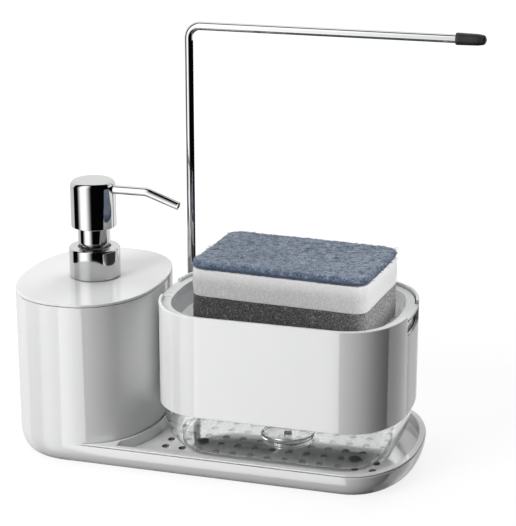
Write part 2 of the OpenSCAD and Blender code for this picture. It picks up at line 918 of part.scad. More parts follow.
module hanger_rod() {
    top = rod_h - rod_bend_r;
    color("silver")
    translate([rod_x, rod_y, 0]) {
        translate([0, 0, stud_z]) cylinder(r = stud_r, h = nut_pocket_top - stud_z);
        translate([0, 0, washer_z + washer_t])
            cylinder(r = rod_r, h = top - washer_z - washer_t);
        translate([rod_bend_r, 0, top])
            rotate([90, 0, 0])
                rotate([0, 0, 90])
                    rotate_extrude(angle = 90) translate([rod_bend_r, 0]) circle(r = rod_r);
        translate([rod_bend_r, 0, rod_h])
            rotate([0, 90, 0]) cylinder(r = rod_r, h = arm_len + cap_depth - rod_bend_r);
    }
}

module rod_ferrule() {
    color("silver") translate([rod_x, rod_y, 0]) tube(ferrule_r, rod_r + seated, ferrule_z, ferrule_h);
}

module rod_washer() {
    color("silver")
    translate([rod_x, rod_y, 0]) tube(nut_pocket_r - seam, stud_r + seated, washer_z, washer_t);
}

module rod_nut() {
    color("silver")
    translate([rod_x, rod_y, washer_z - nut_h])
        difference() {
            cylinder(r = nut_af / sqrt(3), h = nut_h, $fn = 6);
            translate([0, 0, -overrun]) cylinder(r = stud_r + seated, h = nut_h + 2 * overrun);
        }
}

module rod_cap() {
    color("black")
    translate([rod_x + arm_len, rod_y, rod_h])
        rotate([0, 90, 0])
            difference() {
                union() {
                    cylinder(r = cap_r, h = cap_len - cap_r);
                    translate([0, 0, cap_len - cap_r]) sphere(r = cap_r);
                }
                translate([0, 0, -overrun]) cylinder(r = rod_r + seated, h = cap_depth + overrun + snug);
            }
}

caddy_body();
base_pad();
holder_band();
rod_bush();
lid();
lid_seal();
pump_housing();
pump_gasket();
pump_neck();
dip_tube();
valve_ball();
pump_spring();
pump_collar();
collar_liner();
pump_stem();
pump_piston();
pump_head();
head_core();
spout_tube();
drain_tray();
hanger_rod();
rod_ferrule();
rod_washer();
rod_nut();
rod_cap();
cup();
cup_feet();
sponge_tray();
sponge_base();
sponge_core();
sponge_scourer();
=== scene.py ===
# %% [markdown]
# A caddy for the wash-basin: a white moulded base that grows into a soap bottle, a chromed pump,
# a drain tray, a clear cup in a white band, a sponge in its strainer, and a rod with an arm for a
# cloth. The solids of the frame say where everything is and how big it is. Here each piece that
# shows gets a smooth, finished skin, in metres, in the same place.

# %% Tools and frame
import math

import bmesh
import bpy
import numpy as np
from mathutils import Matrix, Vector, noise


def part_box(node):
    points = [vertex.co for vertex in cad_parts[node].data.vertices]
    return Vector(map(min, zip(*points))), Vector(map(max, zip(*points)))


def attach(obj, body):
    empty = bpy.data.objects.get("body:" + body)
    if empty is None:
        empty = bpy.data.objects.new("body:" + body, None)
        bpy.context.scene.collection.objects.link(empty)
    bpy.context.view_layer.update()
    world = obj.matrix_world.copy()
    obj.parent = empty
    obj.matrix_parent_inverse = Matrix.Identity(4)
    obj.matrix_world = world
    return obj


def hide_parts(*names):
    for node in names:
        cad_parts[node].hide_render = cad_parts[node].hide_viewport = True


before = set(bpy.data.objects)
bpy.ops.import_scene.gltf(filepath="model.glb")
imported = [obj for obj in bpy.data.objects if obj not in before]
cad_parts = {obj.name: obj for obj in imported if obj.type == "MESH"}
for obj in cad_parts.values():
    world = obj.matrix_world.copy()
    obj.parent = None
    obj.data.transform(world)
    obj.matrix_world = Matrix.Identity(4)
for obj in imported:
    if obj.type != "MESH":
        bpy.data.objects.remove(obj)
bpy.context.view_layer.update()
mm = 0.001
print("solids in the frame:", len(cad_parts))

# %% [markdown]
# The camera stands a good metre away with a long lens, a little to the right of the object and
# above it, as a product photographer would have it. It is placed by its azimuth, its elevation
# and its distance from a point in the middle of the object, so each can be changed by itself.

# %% Camera
camera_azimuth = math.radians(16.56)
camera_elevation = math.radians(17.41)
camera_distance = 1.0793
looked_at = Vector((24.24, 0, 125.8)) * mm


def direction(azimuth, elevation):
    """The unit vector towards a place seen from the middle: azimuth 0 is the front, 90 the right."""
    level = math.cos(elevation)
    return Vector((math.sin(azimuth) * level, -math.cos(azimuth) * level, math.sin(elevation)))


camera = bpy.data.objects.new("camera", bpy.data.cameras.new("camera"))
camera.data.lens = 117.35
camera.data.sensor_width = 36
camera.data.clip_start = 0.05
towards_camera = direction(camera_azimuth, camera_elevation)
camera.location = looked_at + towards_camera * camera_distance
camera.rotation_euler = towards_camera.to_track_quat("Z", "Y").to_euler()
bpy.context.scene.collection.objects.link(camera)
bpy.context.scene.camera = camera
print("camera at", [round(v, 3) for v in camera.location])

# %% [markdown]
# Shaders are written as sums. A wire stands for one output socket of a node, and adding or
# multiplying wires adds the Math nodes that do it, so a mask reads like a line of arithmetic.
# Every other node comes from one method, which sets the node's options before its sockets.

# %% Wires and nets
class Wire:
    """An output socket that takes part in sums."""

    def __init__(self, net, socket):
        self.net, self.socket = net, socket

    def math(self, operation, *values):
        return self.net.add("Math", {"operation": operation}, dict(enumerate(values)))

    def __add__(self, other):
        return self.math("ADD", self, other)

    def __sub__(self, other):
        return self.math("SUBTRACT", self, other)

    def __rsub__(self, other):
        return self.math("SUBTRACT", other, self)

    def __mul__(self, other):
        return self.math("MULTIPLY", self, other)

    def __truediv__(self, other):
        return self.math("DIVIDE", self, other)

    __radd__ = __add__
    __rmul__ = __mul__


class Net:
    """A node tree that starts empty."""

    def __init__(self, tree):
        self.tree = tree
        tree.nodes.clear()

    def add(self, kind, settings=None, sockets=None, out=0):
        node = self.tree.nodes.new("ShaderNode" + kind)
        for name, value in (settings or {}).items():
            if name == "stops":
                self.set_stops(node.color_ramp, value)
            else:
                setattr(node, name, value)
        for name, value in (sockets or {}).items():
            if isinstance(value, Wire):
                self.tree.links.new(value.socket, node.inputs[name])
            else:
                node.inputs[name].default_value = value
        return Wire(self, node.outputs[out]) if node.outputs else node

    @staticmethod
    def set_stops(ramp, stops):
        while len(ramp.elements) < len(stops):
            ramp.elements.new(1)
        for element, (place, shade) in zip(ramp.elements, stops):
            element.position, element.color = place, shade

    def between(self, value, low, high, soft):
        """1 where value lies between low and high, fading over soft on both sides."""
        rise = self.fade(value, low - soft, low + soft)
        return rise * (1 - self.fade(value, high - soft, high + soft))

    def fade(self, value, start, end, low=0.0, high=1.0):
        """Goes smoothly from low to high as value goes from start to end."""
        return self.add(
            "MapRange",
            {"interpolation_type": "SMOOTHSTEP"},
            {"Value": value, "From Min": start, "From Max": end, "To Min": low, "To Max": high},
        )

    def blend(self, share, first, second):
        """Mixes two colours."""
        return self.add("Mix", {"data_type": "RGBA"}, {0: share, 6: first, 7: second}, out=2)


def grey(level, alpha=1.0):
    return (level, level, level, alpha)


print("shader helpers ready")

# %% [markdown]
# Chrome is a mirror, so what it looks like is what stands round it. In a studio that is a dark
# room with a few pale cards: a tall one at the front left, a lower one on the right, a dimmer one
# behind, and a pale ceiling at the back. They could be real panels, but then they would also
# stand in the way of the light. Here the world draws them by direction, for mirror rays alone.
# The camera sees plain white, and a little light from everywhere softens the shadows.

# %% World
scene = bpy.context.scene
scene.view_settings.view_transform = "Standard"
world = bpy.data.worlds.new("studio")
world.use_nodes = True
scene.world = world
room = Net(world.node_tree)
ray = room.add("TexCoord", out=0)
parts = room.add("SeparateXYZ", sockets={0: ray})
ray_x, ray_y, ray_z = (Wire(room, s) for s in parts.socket.node.outputs)
turn = ray_x.math("DEGREES", ray_x.math("ARCTAN2", ray_x, ray_y * -1))
rise = ray_z.math("DEGREES", ray_z.math("ARCSINE", ray_z))

card_front = room.fade(turn, -66, -38) * (1 - room.fade(turn, -24, 12))
card_right = room.fade(turn, 104, 108) * (1 - room.fade(turn, 160, 175))
card_back = room.fade(turn, 160, 175) + (1 - room.fade(turn, -96, -90))
low_cards = card_front * 1.9 + card_right * 1.2 + card_back * 0.85
low_room = room.fade(rise, -52, -38) * low_cards + 0.002
front_room = card_front * (1 - room.fade(rise, 60, 75)) * 1.9
front_room = front_room + card_right * (1 - room.fade(rise, 15, 30)) * 1.2 + 0.002
ceiling = room.fade(rise, 5, 75, 1.05, 1.35)
away = ray_x * -math.sin(camera_azimuth) + ray_y * math.cos(camera_azimuth)
behind = room.fade(away, 0.15, 0.3)
high_room = behind * ceiling + (1 - behind) * front_room
above = room.fade(rise, -6, -1)
mirror_room = above * high_room + (1 - above) * low_room

light_path = room.add("LightPath").socket.node.outputs
is_camera = Wire(room, light_path["Is Camera Ray"])
is_mirror = Wire(room, light_path["Is Glossy Ray"])
is_through = Wire(room, light_path["Is Transmission Ray"])
fill_level = 0.07
glass_room = room.fade(away, -0.3, 0) * (1 - mirror_room) + mirror_room
level = is_camera + is_through * glass_room + is_mirror * mirror_room
soft_fill = (1 - is_camera) * (1 - is_mirror) * (1 - is_through) * fill_level
backdrop = room.add("Background", sockets={"Color": grey(1), "Strength": level + soft_fill})
room.add("OutputWorld", sockets={"Surface": backdrop})
print("world: cards at the front, right and back for mirrors, fill", fill_level)

# %% [markdown]
# One broad lamp from the front left models the forms, a second from the left keeps that side
# pale, a third overhead lights the lid, and a fourth from behind keeps the back from going dark.
# They are soft boxes: big, near and square. The mirror rays don't see them, because the world
# already holds the cards that chrome should show.

# %% Lamps
def area_lamp(name, azimuth, elevation, distance, width, height, power):
    """A flat lamp that points at the middle of the object."""
    lamp = bpy.data.lights.new(name, "AREA")
    lamp.shape = "RECTANGLE"
    lamp.size, lamp.size_y = width, height
    lamp.energy = power
    obj = bpy.data.objects.new(name, lamp)
    away = direction(math.radians(azimuth), math.radians(elevation))
    obj.location = looked_at + away * distance
    obj.rotation_euler = away.to_track_quat("Z", "Y").to_euler()
    scene.collection.objects.link(obj)
    print(name, round(power, 1), "W")
    return obj


def softbox(name, azimuth, elevation, distance, size, strength, only=None):
    """A square lamp; strength is what a facing white card shows, and only is the parts it lights."""
    power = strength * math.pi**2 * distance**2
    lamp = area_lamp(name, azimuth, elevation, distance, size, size, power)
    lamp.visible_glossy = False
    lamp.light_linking.receiver_collection = only
    return lamp


softbox("key", -34, 22, 1.5, 0.8, 0.82)
softbox("left", -92, 25, 1.4, 0.8, 0.2)
softbox("top", -150, 78, 1.3, 0.8, 0.36)
softbox("back", 165, 30, 1.4, 0.8, 0.33)

# %% [markdown]
# A photographer also lights single pieces. Gloss white shows the table that it stands on, so
# three panels below the floor's level are there for the gloss of the white parts and nothing
# else. The sponge, the drain tray and the strainer each get a small lamp from the side. Light
# linking keeps each lamp to its own pieces. The band would stand in the way of the strainer's
# lamp, so only the floor can shade that one.

# %% Lamps for single pieces
white_parts, sponge_parts, tray_parts, strainer_parts, shade_makers = (
    bpy.data.collections.new(name)
    for name in ("white parts", "sponge parts", "tray parts", "strainer parts", "shade makers")
)
parts_of_body = {"sponge": sponge_parts, "drain_tray": tray_parts, "sponge_tray": strainer_parts}


def gloss_panel(name, azimuth, elevation, width, height, glow):
    """A panel of an even brightness that only the gloss of the white parts shows."""
    power = glow * math.pi * width * height
    panel = area_lamp(name, azimuth, elevation, 1.2, width, height, power)
    panel.visible_camera = panel.visible_diffuse = panel.visible_transmission = False
    panel.light_linking.receiver_collection = white_parts


gloss_panel("wide_panel", -27, -27, 1.2, 1.05, 1.1)
gloss_panel("front_panel", -13, -27, 0.6, 1.05, 2.6)
gloss_panel("end_panel", 126, -34, 0.97, 1.4, 0.7)
softbox("sponge_side", 74, 20, 0.45, 0.3, 0.75, sponge_parts)
softbox("tray_side", 74, 20, 0.45, 0.3, 0.1, tray_parts)
inner_light = softbox("strainer_side", -75, 8, 1.2, 0.6, 0.45, strainer_parts)
inner_light.light_linking.blocker_collection = shade_makers

# %% [markdown]
# The floor is one large pale sheet. The camera sees it almost white: most of that is its own
# glow, painted a touch lower round the object than far away as a painted shadow, and the rest is
# real shading, so that the object keeps its soft shadow. Mirror rays pass it by, so that chrome
# shows the dark room low down, as it does in the studio.

# %% Floor
floor_glow = 0.945
floor_size = 6.0
bpy.ops.mesh.primitive_plane_add(size=floor_size)
floor = bpy.context.object
floor.name = "floor"
floor.visible_glossy = False
paper = bpy.data.materials.new("paper")
paper.use_nodes = True
sheet = Net(paper.node_tree)
seen = sheet.add("LightPath").socket.node.outputs
shows = Wire(sheet, seen["Is Camera Ray"]) + Wire(sheet, seen["Is Transmission Ray"])
lit = sheet.add("BsdfDiffuse", sockets={"Color": sheet.blend(shows, grey(0.16), grey(0.2))})
spot = sheet.add("TexCoord", out=3)
outward = sheet.add("VectorMath", {"operation": "LENGTH"}, {0: spot}, out=1)
# painted shadow: the glow is painted greyer round the object than far away
pale = sheet.blend(sheet.fade(outward, 0.2, 0.8), grey(0.9), grey(1.06))
white = sheet.add("Emission", sockets={"Color": pale, "Strength": shows * floor_glow})
both = sheet.add("AddShader", sockets={0: lit, 1: white})
sheet.add("OutputMaterial", sockets={"Surface": both})
floor.data.materials.append(paper)
shade_makers.objects.link(floor)
print("floor", floor_size, "m")

# %% [markdown]
# The finishes come next. No moulded, plated or foamed surface is one flat colour: moulded plastic
# has a faint ripple and a slight cloudiness in its gloss, chrome has fine polishing haze, rubber
# is dusty. Each finish is a Principled shader whose colour, roughness and bump vary with noise in
# the object's own coordinates, at the size that the real texture has.

# %% Finish helper
def finish(name):
    """A material with an empty net, and the place in millimetres of the point that is shaded."""
    material = bpy.data.materials.new(name)
    material.use_nodes = True
    net = Net(material.node_tree)
    place = net.add("TexCoord", out=3)
    place = net.add("VectorMath", {"operation": "SCALE"}, {0: place, "Scale": 1 / mm})
    return material, net, place


def speckle(net, place, size, detail=2.0, rough=0.5):
    """Noise with lumps of about size millimetres, from 0 to 1."""
    sockets = {"Vector": place, "Scale": 1 / size, "Detail": detail, "Roughness": rough}
    return net.add("TexNoise", sockets=sockets)


def bump(net, height, depth, strength=1.0):
    """Turns a height from 0 to 1 into a bump that is depth millimetres deep."""
    sockets = {"Height": height, "Distance": depth * mm, "Strength": strength}
    return net.add("Bump", sockets=sockets)


def surface(net, **sockets):
    """Closes a finish with a Principled shader; underscores in the names stand for spaces."""
    named = {key.replace("_", " "): value for key, value in sockets.items()}
    shader = net.add("BsdfPrincipled", sockets=named)
    net.add("OutputMaterial", sockets={"Surface": shader})


print("finish helpers ready")

# %% [markdown]
# White moulded plastic is almost mirror-smooth, with a hint of ripple. Light hardly gets into its
# narrow corners, so ambient occlusion over a few millimetres greys them. The walls of the drain
# holes are darker still. The holes stand in a regular pattern, so a sum over the place tells
# which points are in one, and a second sum keeps the shade off the outside of the tray.

# %% Gloss white plastic
base_power = 2.26
end_x = 92.25
hole_pitch = 11.3
hole_start = -27.4
hole_rows = 7
tray_floor = 8.9
pan_a, pan_b = 32.6, 54.6


def in_holes(net, place):
    """1 on the walls of the drain holes, where hardly any light gets."""
    parts = net.add("SeparateXYZ", sockets={0: place}).socket.node.outputs
    x, y, z = (Wire(net, part) for part in parts)
    half = hole_pitch / 2
    across = x.math("WRAP", x - hole_start, half, -half)
    deep = y.math("WRAP", y, half, -half)
    radius = x.math("SQRT", across * across + deep * deep * 0.5)
    below = 1 - net.fade(z, tray_floor - 0.15, tray_floor - 0.03)
    hole = (1 - net.fade(radius, 2.6, 2.7)) * below
    past = x.math("MAXIMUM", x - end_x, 0) / pan_a
    aside = y.math("ABSOLUTE", y)
    share = past.math("POWER", past, base_power) + aside.math("POWER", aside / pan_b, base_power)
    last_row = hole_pitch * (hole_rows - 1) / 2 + 4
    pattern = (1 - net.fade(share, 1.17, 1.19)) * (1 - net.fade(aside, last_row, last_row + 0.2))
    return hole * pattern * net.fade(x, hole_start - 4, hole_start - 3.8)


def white_plastic(name, holed=False):
    """Gloss white that darkens in corners a few millimetres wide."""
    material, net, place = finish(name)
    cloud = speckle(net, place, 22, 3)
    ripple = speckle(net, place, 5.5, 1)
    clean = net.blend(cloud, (0.845, 0.85, 0.855, 1), (0.885, 0.885, 0.885, 1))
    open_sky = net.add("AmbientOcclusion", {"samples": 6}, {"Distance": 3 * mm}, out=1)
    shaded = net.blend(net.fade(open_sky, 0.12, 0.6), grey(0.3), clean)
    if holed:
        shaded = net.blend(in_holes(net, place), shaded, grey(0.13))
    surface(
        net,
        Base_Color=shaded,
        Roughness=net.fade(cloud, 0.3, 0.7, 0.03, 0.06),
        IOR=1.5,
        Normal=bump(net, ripple, 0.008),
    )
    return material


gloss_white = white_plastic("white_plastic")
tray_white = white_plastic("white_tray", holed=True)
print(gloss_white.name, tray_white.name)

# %% [markdown]
# Chrome plate is a mirror that gives back a little over half of the light, with a faint haze from
# polishing and wiping. What it shows comes from the studio round it.

# %% Chrome plate
def chrome_plate():
    material, net, place = finish("chrome_plate")
    haze = speckle(net, place, 9, 4)
    surface(
        net,
        Base_Color=net.blend(haze, (0.53, 0.535, 0.54, 1), (0.59, 0.59, 0.59, 1)),
        Metallic=1.0,
        Roughness=net.fade(haze, 0.3, 0.7, 0.035, 0.07),
    )
    return material


chrome = chrome_plate()
print(chrome.name)

# %% [markdown]
# The cup is clear plastic with a real wall, so light bends twice on its way through. A renderer
# finds the lamps behind such a wall only by luck, and the tray below would turn black. So shadow
# rays meet a see-through stand-in instead, which is the usual way out. Seen edge on, the wall is
# long and swallows a little light, and beyond that its colour is painted greyer there, a painted
# dark outline.

# %% Clear plastic
def clear_plastic():
    material, net, place = finish("clear_cup")
    wipe = speckle(net, place, 14, 3)
    edge_on = net.add("LayerWeight", sockets={"Blend": 0.5}, out=1)
    body = net.blend(wipe, (0.965, 0.972, 0.975, 1), (0.994, 1, 1, 1))
    shader = net.add(
        "BsdfPrincipled",
        sockets={
            # painted shade: the colour greys where the wall is seen edge on, a painted dark outline
            "Base Color": net.blend(net.fade(edge_on, 0.6, 0.95), body, grey(0.3)),
            "Roughness": net.fade(wipe, 0.35, 0.7, 0, 0.01),
            "IOR": 1.49,
            "Transmission Weight": 1.0,
        },
    )
    clear = net.add("BsdfTransparent", sockets={"Color": grey(0.72)})
    shadow = Wire(net, net.add("LightPath").socket.node.outputs["Is Shadow Ray"])
    both = net.add("MixShader", sockets={0: shadow, 1: shader, 2: clear})
    net.add("OutputMaterial", sockets={"Surface": both})
    return material


clear_cup = clear_plastic()
print(clear_cup.name)

# %% [markdown]
# The strainer looks clear in the hand, but its satin skin scatters most of the light, so it reads
# as a pale grey moulding that lets a little light through.

# %% Strainer plastic
def strainer_plastic():
    material, net, place = finish("strainer_plastic")
    cloud = speckle(net, place, 11, 3)
    surface(
        net,
        Base_Color=net.blend(cloud, (0.74, 0.75, 0.76, 1), (0.79, 0.80, 0.80, 1)),
        Roughness=net.fade(cloud, 0.3, 0.7, 0.26, 0.36),
        IOR=1.49,
        Transmission_Weight=0.1,
        Normal=bump(net, speckle(net, place, 1.6, 2), 0.006),
    )
    return material


frosted = strainer_plastic()
print(frosted.name)

# %% [markdown]
# The feet, the ring and the arm's cap are rubber, and the pump's inner parts are plain plastic.
# All of them are one finish in other colours: two shades that a dusty noise mixes, and a grain.

# %% Rubbers and pump plastic
def moulded(name, dark, pale, rough, lump, depth):
    """A plain moulded finish between two colours, with a fine grain."""
    material, net, place = finish(name)
    dust = speckle(net, place, lump * 6, 4, 0.6)
    surface(
        net,
        Base_Color=net.blend(net.fade(dust, 0.35, 0.75), dark, pale),
        Roughness=net.fade(dust, 0.3, 0.7, rough - 0.06, rough + 0.06),
        Normal=bump(net, speckle(net, place, lump, 3), depth),
    )
    return material


black_rubber = moulded("black_rubber", grey(0.012), grey(0.03), 0.42, 0.9, 0.02)
grey_rubber = moulded("grey_rubber", grey(0.12), grey(0.17), 0.6, 0.9, 0.03)
pump_white = moulded("pump_white", grey(0.74), grey(0.8), 0.38, 1.8, 0.01)
print(black_rubber.name, grey_rubber.name, pump_white.name)

# %% [markdown]
# The spring, the valve's ball, the nut and the washer are bare steel, drawn or turned, so fine
# lines run along it.

# %% Plain steel
def plain_steel():
    material, net, place = finish("plain_steel")
    drawn = net.add("Mapping", sockets={"Vector": place, "Scale": (1, 1, 0.12)})
    lines = speckle(net, drawn, 0.5, 3)
    surface(
        net,
        Base_Color=net.blend(lines, grey(0.5), grey(0.64)),
        Metallic=1.0,
        Roughness=net.fade(lines, 0.3, 0.7, 0.22, 0.34),
    )
    return material


steel = plain_steel()
print(steel.name)

# %% [markdown]
# Foam is a web of cells. From arm's length it reads as a matt colour with thousands of small
# pores, painted dark as the shade in them, so the colour comes from cell noise at the size of the
# pores, the bump sinks them, and the mesh itself is roughened later. Both foams carry painted light
# that makes them paler towards their right end, and the light one also has painted light towards
# its top, where it meets the scourer.

# %% Foams
def foam(name, near, far, pore_size, pore_share, depth, painted_top_light=0.0):
    """Foam in greys (body, glint, pore) for its left end and its right end, with painted light that makes
    the right end paler, and painted light at its top.
    """
    material, net, place = finish(name)
    within = net.add("SeparateXYZ", sockets={0: net.add("TexCoord", out=0)}).socket.node.outputs
    along, up = Wire(net, within[0]), Wire(net, within[2])
    # painted light: the foam is painted paler towards its right end, as if lit from the right
    painted_light_right = net.fade(along, 0.5, 1.05) * 0.25 + net.fade(along, 0.9, 0.98) * 0.75
    cells = net.add("TexVoronoi", {"feature": "F1"}, {"Vector": place, "Scale": 1 / pore_size})
    fine = speckle(net, place, pore_size * 0.8, 3, 0.7)
    strut = speckle(net, place, pore_size * 1.3, 2, 0.6)
    # painted shade: the pores are painted dark for the shade inside the cells
    holes = 1 - net.fade(cells + fine * 0.5, pore_share - 0.12, pore_share + 0.2)
    glints = net.fade(strut, 0.5, 0.72)

    def mottled(body, glint, pore):
        return net.blend(holes, net.blend(glints, grey(body), grey(glint)), grey(pore))

    body = net.blend(painted_light_right, *(mottled(*greys) for greys in (near, far)))
    surface(
        net,
        # painted light: the colour goes paler towards the top, as if lit from above
        Base_Color=net.blend(net.fade(up, 0.45, 1.0) * painted_top_light, body, grey(0.9)),
        Roughness=0.95,
        Sheen_Weight=0.15,
        Sheen_Roughness=0.6,
        Normal=bump(net, 1 - holes, depth, 0.9),
    )
    return material


dark_foam = foam("dark_foam", (0.06, 0.17, 0.008), (0.3, 0.5, 0.1), 1.0, 0.6, 0.4)
light_foam = foam("light_foam", (0.5, 0.64, 0.22), (0.8, 0.86, 0.6), 0.8, 0.4, 0.2, painted_top_light=0.6)
print(dark_foam.name, light_foam.name)

# %% [markdown]
# The scourer is a felt of crossing fibres in several blues. Two noises stretched in different
# directions lie over each other like strands, and a third gathers them in clumps. Its lower edge
# is darker, because less light gets between the fibres there.

# %% Scourer felt
def fibre_web():
    material, net, place = finish("fibre_web")
    strands = 0
    for turn, size in ((0.5, 1.0), (-0.6, 0.9)):
        sockets = {"Vector": place, "Scale": (1, 0.7, 1), "Rotation": (0, 0, turn)}
        strands = speckle(net, net.add("Mapping", sockets=sockets), size, 3, 0.7) * 0.5 + strands
    clumps = speckle(net, place, 4, 4, 0.7)
    mixed = strands * 0.65 + clumps * 0.35
    stops = [
        (0.40, (0.012, 0.02, 0.045, 1)),
        (0.47, (0.075, 0.105, 0.16, 1)),
        (0.53, (0.125, 0.165, 0.225, 1)),
        (0.61, (0.31, 0.37, 0.43, 1)),
    ]
    depth = net.add("SeparateXYZ", sockets={0: net.add("TexCoord", out=0)}, out=2)
    felt = net.add("ValToRGB", {"stops": stops}, {"Fac": mixed})
    surface(
        net,
        Base_Color=net.blend(net.fade(depth, 0.35, 0.62), (0.055, 0.075, 0.13, 1), felt),
        Roughness=0.9,
        Sheen_Weight=0.25,
        Sheen_Roughness=0.5,
        Normal=bump(net, mixed, 0.9, 0.8),
    )
    return material


scourer_web = fibre_web()
print(scourer_web.name)

# %% [markdown]
# Nearly every moulding here follows one of three rounded outlines, set in or out by a few
# millimetres. An outline is two superellipse ends: an exponent of 2 is an ellipse, and a little
# more is the fuller, squarer end that the base, the bottle and the band have. The three outlines
# are measured on the frame's solids.

# %% Outlines
end_steps = 72
bottle_power, band_power = 2.35, 2.47


def rounded_end(x, a, b, power, side):
    """Half an outline: its widest line at x, facing right (1) or left (-1)."""
    points = []
    for i in range(end_steps):
        t = -math.pi / 2 + math.pi * i / end_steps
        across = max(math.cos(t), 0) ** (2 / power)
        along = math.copysign(abs(math.sin(t)) ** (2 / power), math.sin(t))
        points.append((x + side * a * across, side * b * along))
    return points


base_low, base_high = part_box("caddy_body")
lid_low, lid_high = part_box("lid")
strainer_low, strainer_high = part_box("sponge_tray")
band_low, band_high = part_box("holder_band")
half_depth = base_high.y
bottle_a = (lid_high.x - lid_low.x) / 2
bottle_x = lid_low.x + bottle_a
base_end = 40 * mm
band_end = 42.1 * mm
band_x = (strainer_low.x + strainer_high.x) / 2
band_half = (strainer_high.x - strainer_low.x) / 2


def bottle_outline(inset=0.0):
    a, b = bottle_a - inset, half_depth - inset
    return [p for side in (1, -1) for p in rounded_end(bottle_x, a, b, bottle_power, side)]


def base_outline(inset=0.0):
    b = half_depth - inset
    right = rounded_end(base_high.x - base_end, base_end - inset, b, base_power, 1)
    return right + rounded_end(bottle_x, bottle_a - inset, b, bottle_power, -1)


def band_outline(inset=0.0):
    a, b, shift = band_end - inset, band_high.y - inset, band_half - band_end
    return [p for side in (1, -1) for p in rounded_end(band_x + side * shift, a, b, band_power, side)]


for name, length in (("bottle", 2 * bottle_a), ("base", base_high.x - base_low.x), ("band", 2 * band_half)):
    print(name, round(length, 4), "m long")

# %% [markdown]
# A moulding is an outline taken along a profile. The profile is a list of places (inset, height),
# each with the radius of its corner, and it runs round the section of the wall. That gives every
# rim its small radius, which is what catches the light on a real moulding, and it is quicker and
# cleaner than bevelling afterwards. Round pieces are turned from the same kind of profile, blocks
# are slabs, and a pattern of holes is cut by one solid that is all pins. Where a cutter only has
# to reach past a piece, it goes out to beyond, which is further than any piece reaches.

# %% Solids from profiles
beyond = 200


def soften(corners, closed=False, steps=4):
    """Rounds the corners (u, v, radius) of a profile and returns its points (u, v)."""
    points, last = [], len(corners) - 1
    for i, (u, v, *radius) in enumerate(corners):
        here = Vector((u, v))
        if not radius or (not closed and i in (0, last)):
            points.append(here)
            continue
        before = Vector(corners[i - 1][:2]) - here
        after = Vector(corners[(i + 1) % (last + 1)][:2]) - here
        half = before.angle(after) / 2
        reach = min(radius[0] / math.tan(half), before.length * 0.49, after.length * 0.49)
        start, end = here + before.normalized() * reach, here + after.normalized() * reach
        for k in range(steps + 1):
            t = k / steps
            points.append(start * (1 - t) ** 2 + here * 2 * t * (1 - t) + end * t**2)
    return points


def object_of(name, verts, faces):
    mesh = bpy.data.meshes.new(name)
    mesh.from_pydata([tuple(v) for v in verts], [], faces)
    obj = bpy.data.objects.new(name, mesh)
    scene.collection.objects.link(obj)
    return obj


def loft(name, rings, closed=False):
    """A solid through rings of points, capped at both ends or joined into a loop."""
    n, m = len(rings[0]), len(rings)
    verts = [p for ring in rings for p in ring]
    faces = []
    for k in range(m if closed else m - 1):
        a, b = k * n, (k + 1) % m * n
        faces += [(a + i, a + (i + 1) % n, b + (i + 1) % n, b + i) for i in range(n)]
    if not closed:
        faces += [tuple(reversed(range(n))), tuple(range((m - 1) * n, m * n))]
    solid = object_of(name, verts, faces)
    work = bmesh.new()
    work.from_mesh(solid.data)
    bmesh.ops.recalc_face_normals(work, faces=work.faces)
    work.to_mesh(solid.data)
    work.free()
    return solid


def moulding(name, outline, corners, closed=False, steps=4):
    """An outline taken along a profile of (inset, height, radius), in millimetres."""
    rings = []
    for inset, z in soften(corners, closed, steps):
        rings.append([(x, y, z * mm) for x, y in outline(inset * mm)])
    return loft(name, rings, closed)


def circle(sides):
    """The angles of a circle's points."""
    return [2 * math.pi * i / sides for i in range(sides)]


def turned(name, x, y, corners, closed=False, steps=4, sides=96):
    """A solid of revolution about an upright axis, from a profile of (radius, height, corner radius)."""
    rings = []
    for r, z in soften(corners, closed, steps):
        turns = circle(sides)
        rings.append([(x + r * mm * math.cos(t), y + r * mm * math.sin(t), z * mm) for t in turns])
    return loft(name, rings, closed)


def slab(name, low, high):
    """A block between two corners, in millimetres, used to build up or cut other solids."""
    (x0, y0, z0), (x1, y1, z1) = low, high
    square = [(x0, y0), (x1, y0), (x1, y1), (x0, y1)]
    return loft(name, [[(x * mm, y * mm, z * mm) for x, y in square] for z in (z0, z1)])


def pins(places, profile, sides=20):
    """One cutter with a pin at each place, from a profile of (half width, half depth, height)."""
    verts, faces = [], []
    for x, y in places:
        first = len(verts)
        for across, deep, z in profile:
            ring = [(x + across * math.cos(t), y + deep * math.sin(t), z) for t in circle(sides)]
            verts += [Vector(corner) * mm for corner in ring]
        for a in range(first, len(verts) - sides, sides):
            b = a + sides
            faces += [(a + i, a + (i + 1) % sides, b + (i + 1) % sides, b + i) for i in range(sides)]
        faces += [tuple(range(first, first + sides))[::-1], tuple(range(len(verts) - sides, len(verts)))]
    print(len(places), "holes")
    return object_of("pins", verts, faces)


print("solid helpers ready")

# %% [markdown]
# Mouldings are joined and cut as solids. Blender's Boolean modifier does that; its Manifold
# solver is exact about shared faces and quick, and it asks only that each solid is closed, which
# these are. The result is baked into the mesh straight away, so nothing depends on the cutters.

# %% Joining and cutting
def combine(piece, others, operation):
    """Joins the others to a piece (UNION) or cuts them from it (DIFFERENCE), and removes them."""
    for other in others:
        step = piece.modifiers.new("step", "BOOLEAN")
        step.operation = operation
        step.solver = "MANIFOLD"
        step.object = other
        graph = bpy.context.evaluated_depsgraph_get()
        mesh = bpy.data.meshes.new_from_object(piece.evaluated_get(graph))
        piece.modifiers.clear()
        old, piece.data = piece.data, mesh
        bpy.data.meshes.remove(old)
    for other in others:
        bpy.data.objects.remove(other)
    if not piece.data.polygons:
        raise ValueError(piece.name + " vanished")
    return piece


def join(piece, *others):
    return combine(piece, others, "UNION")


def cut(piece, *others):
    return combine(piece, others, "DIFFERENCE")


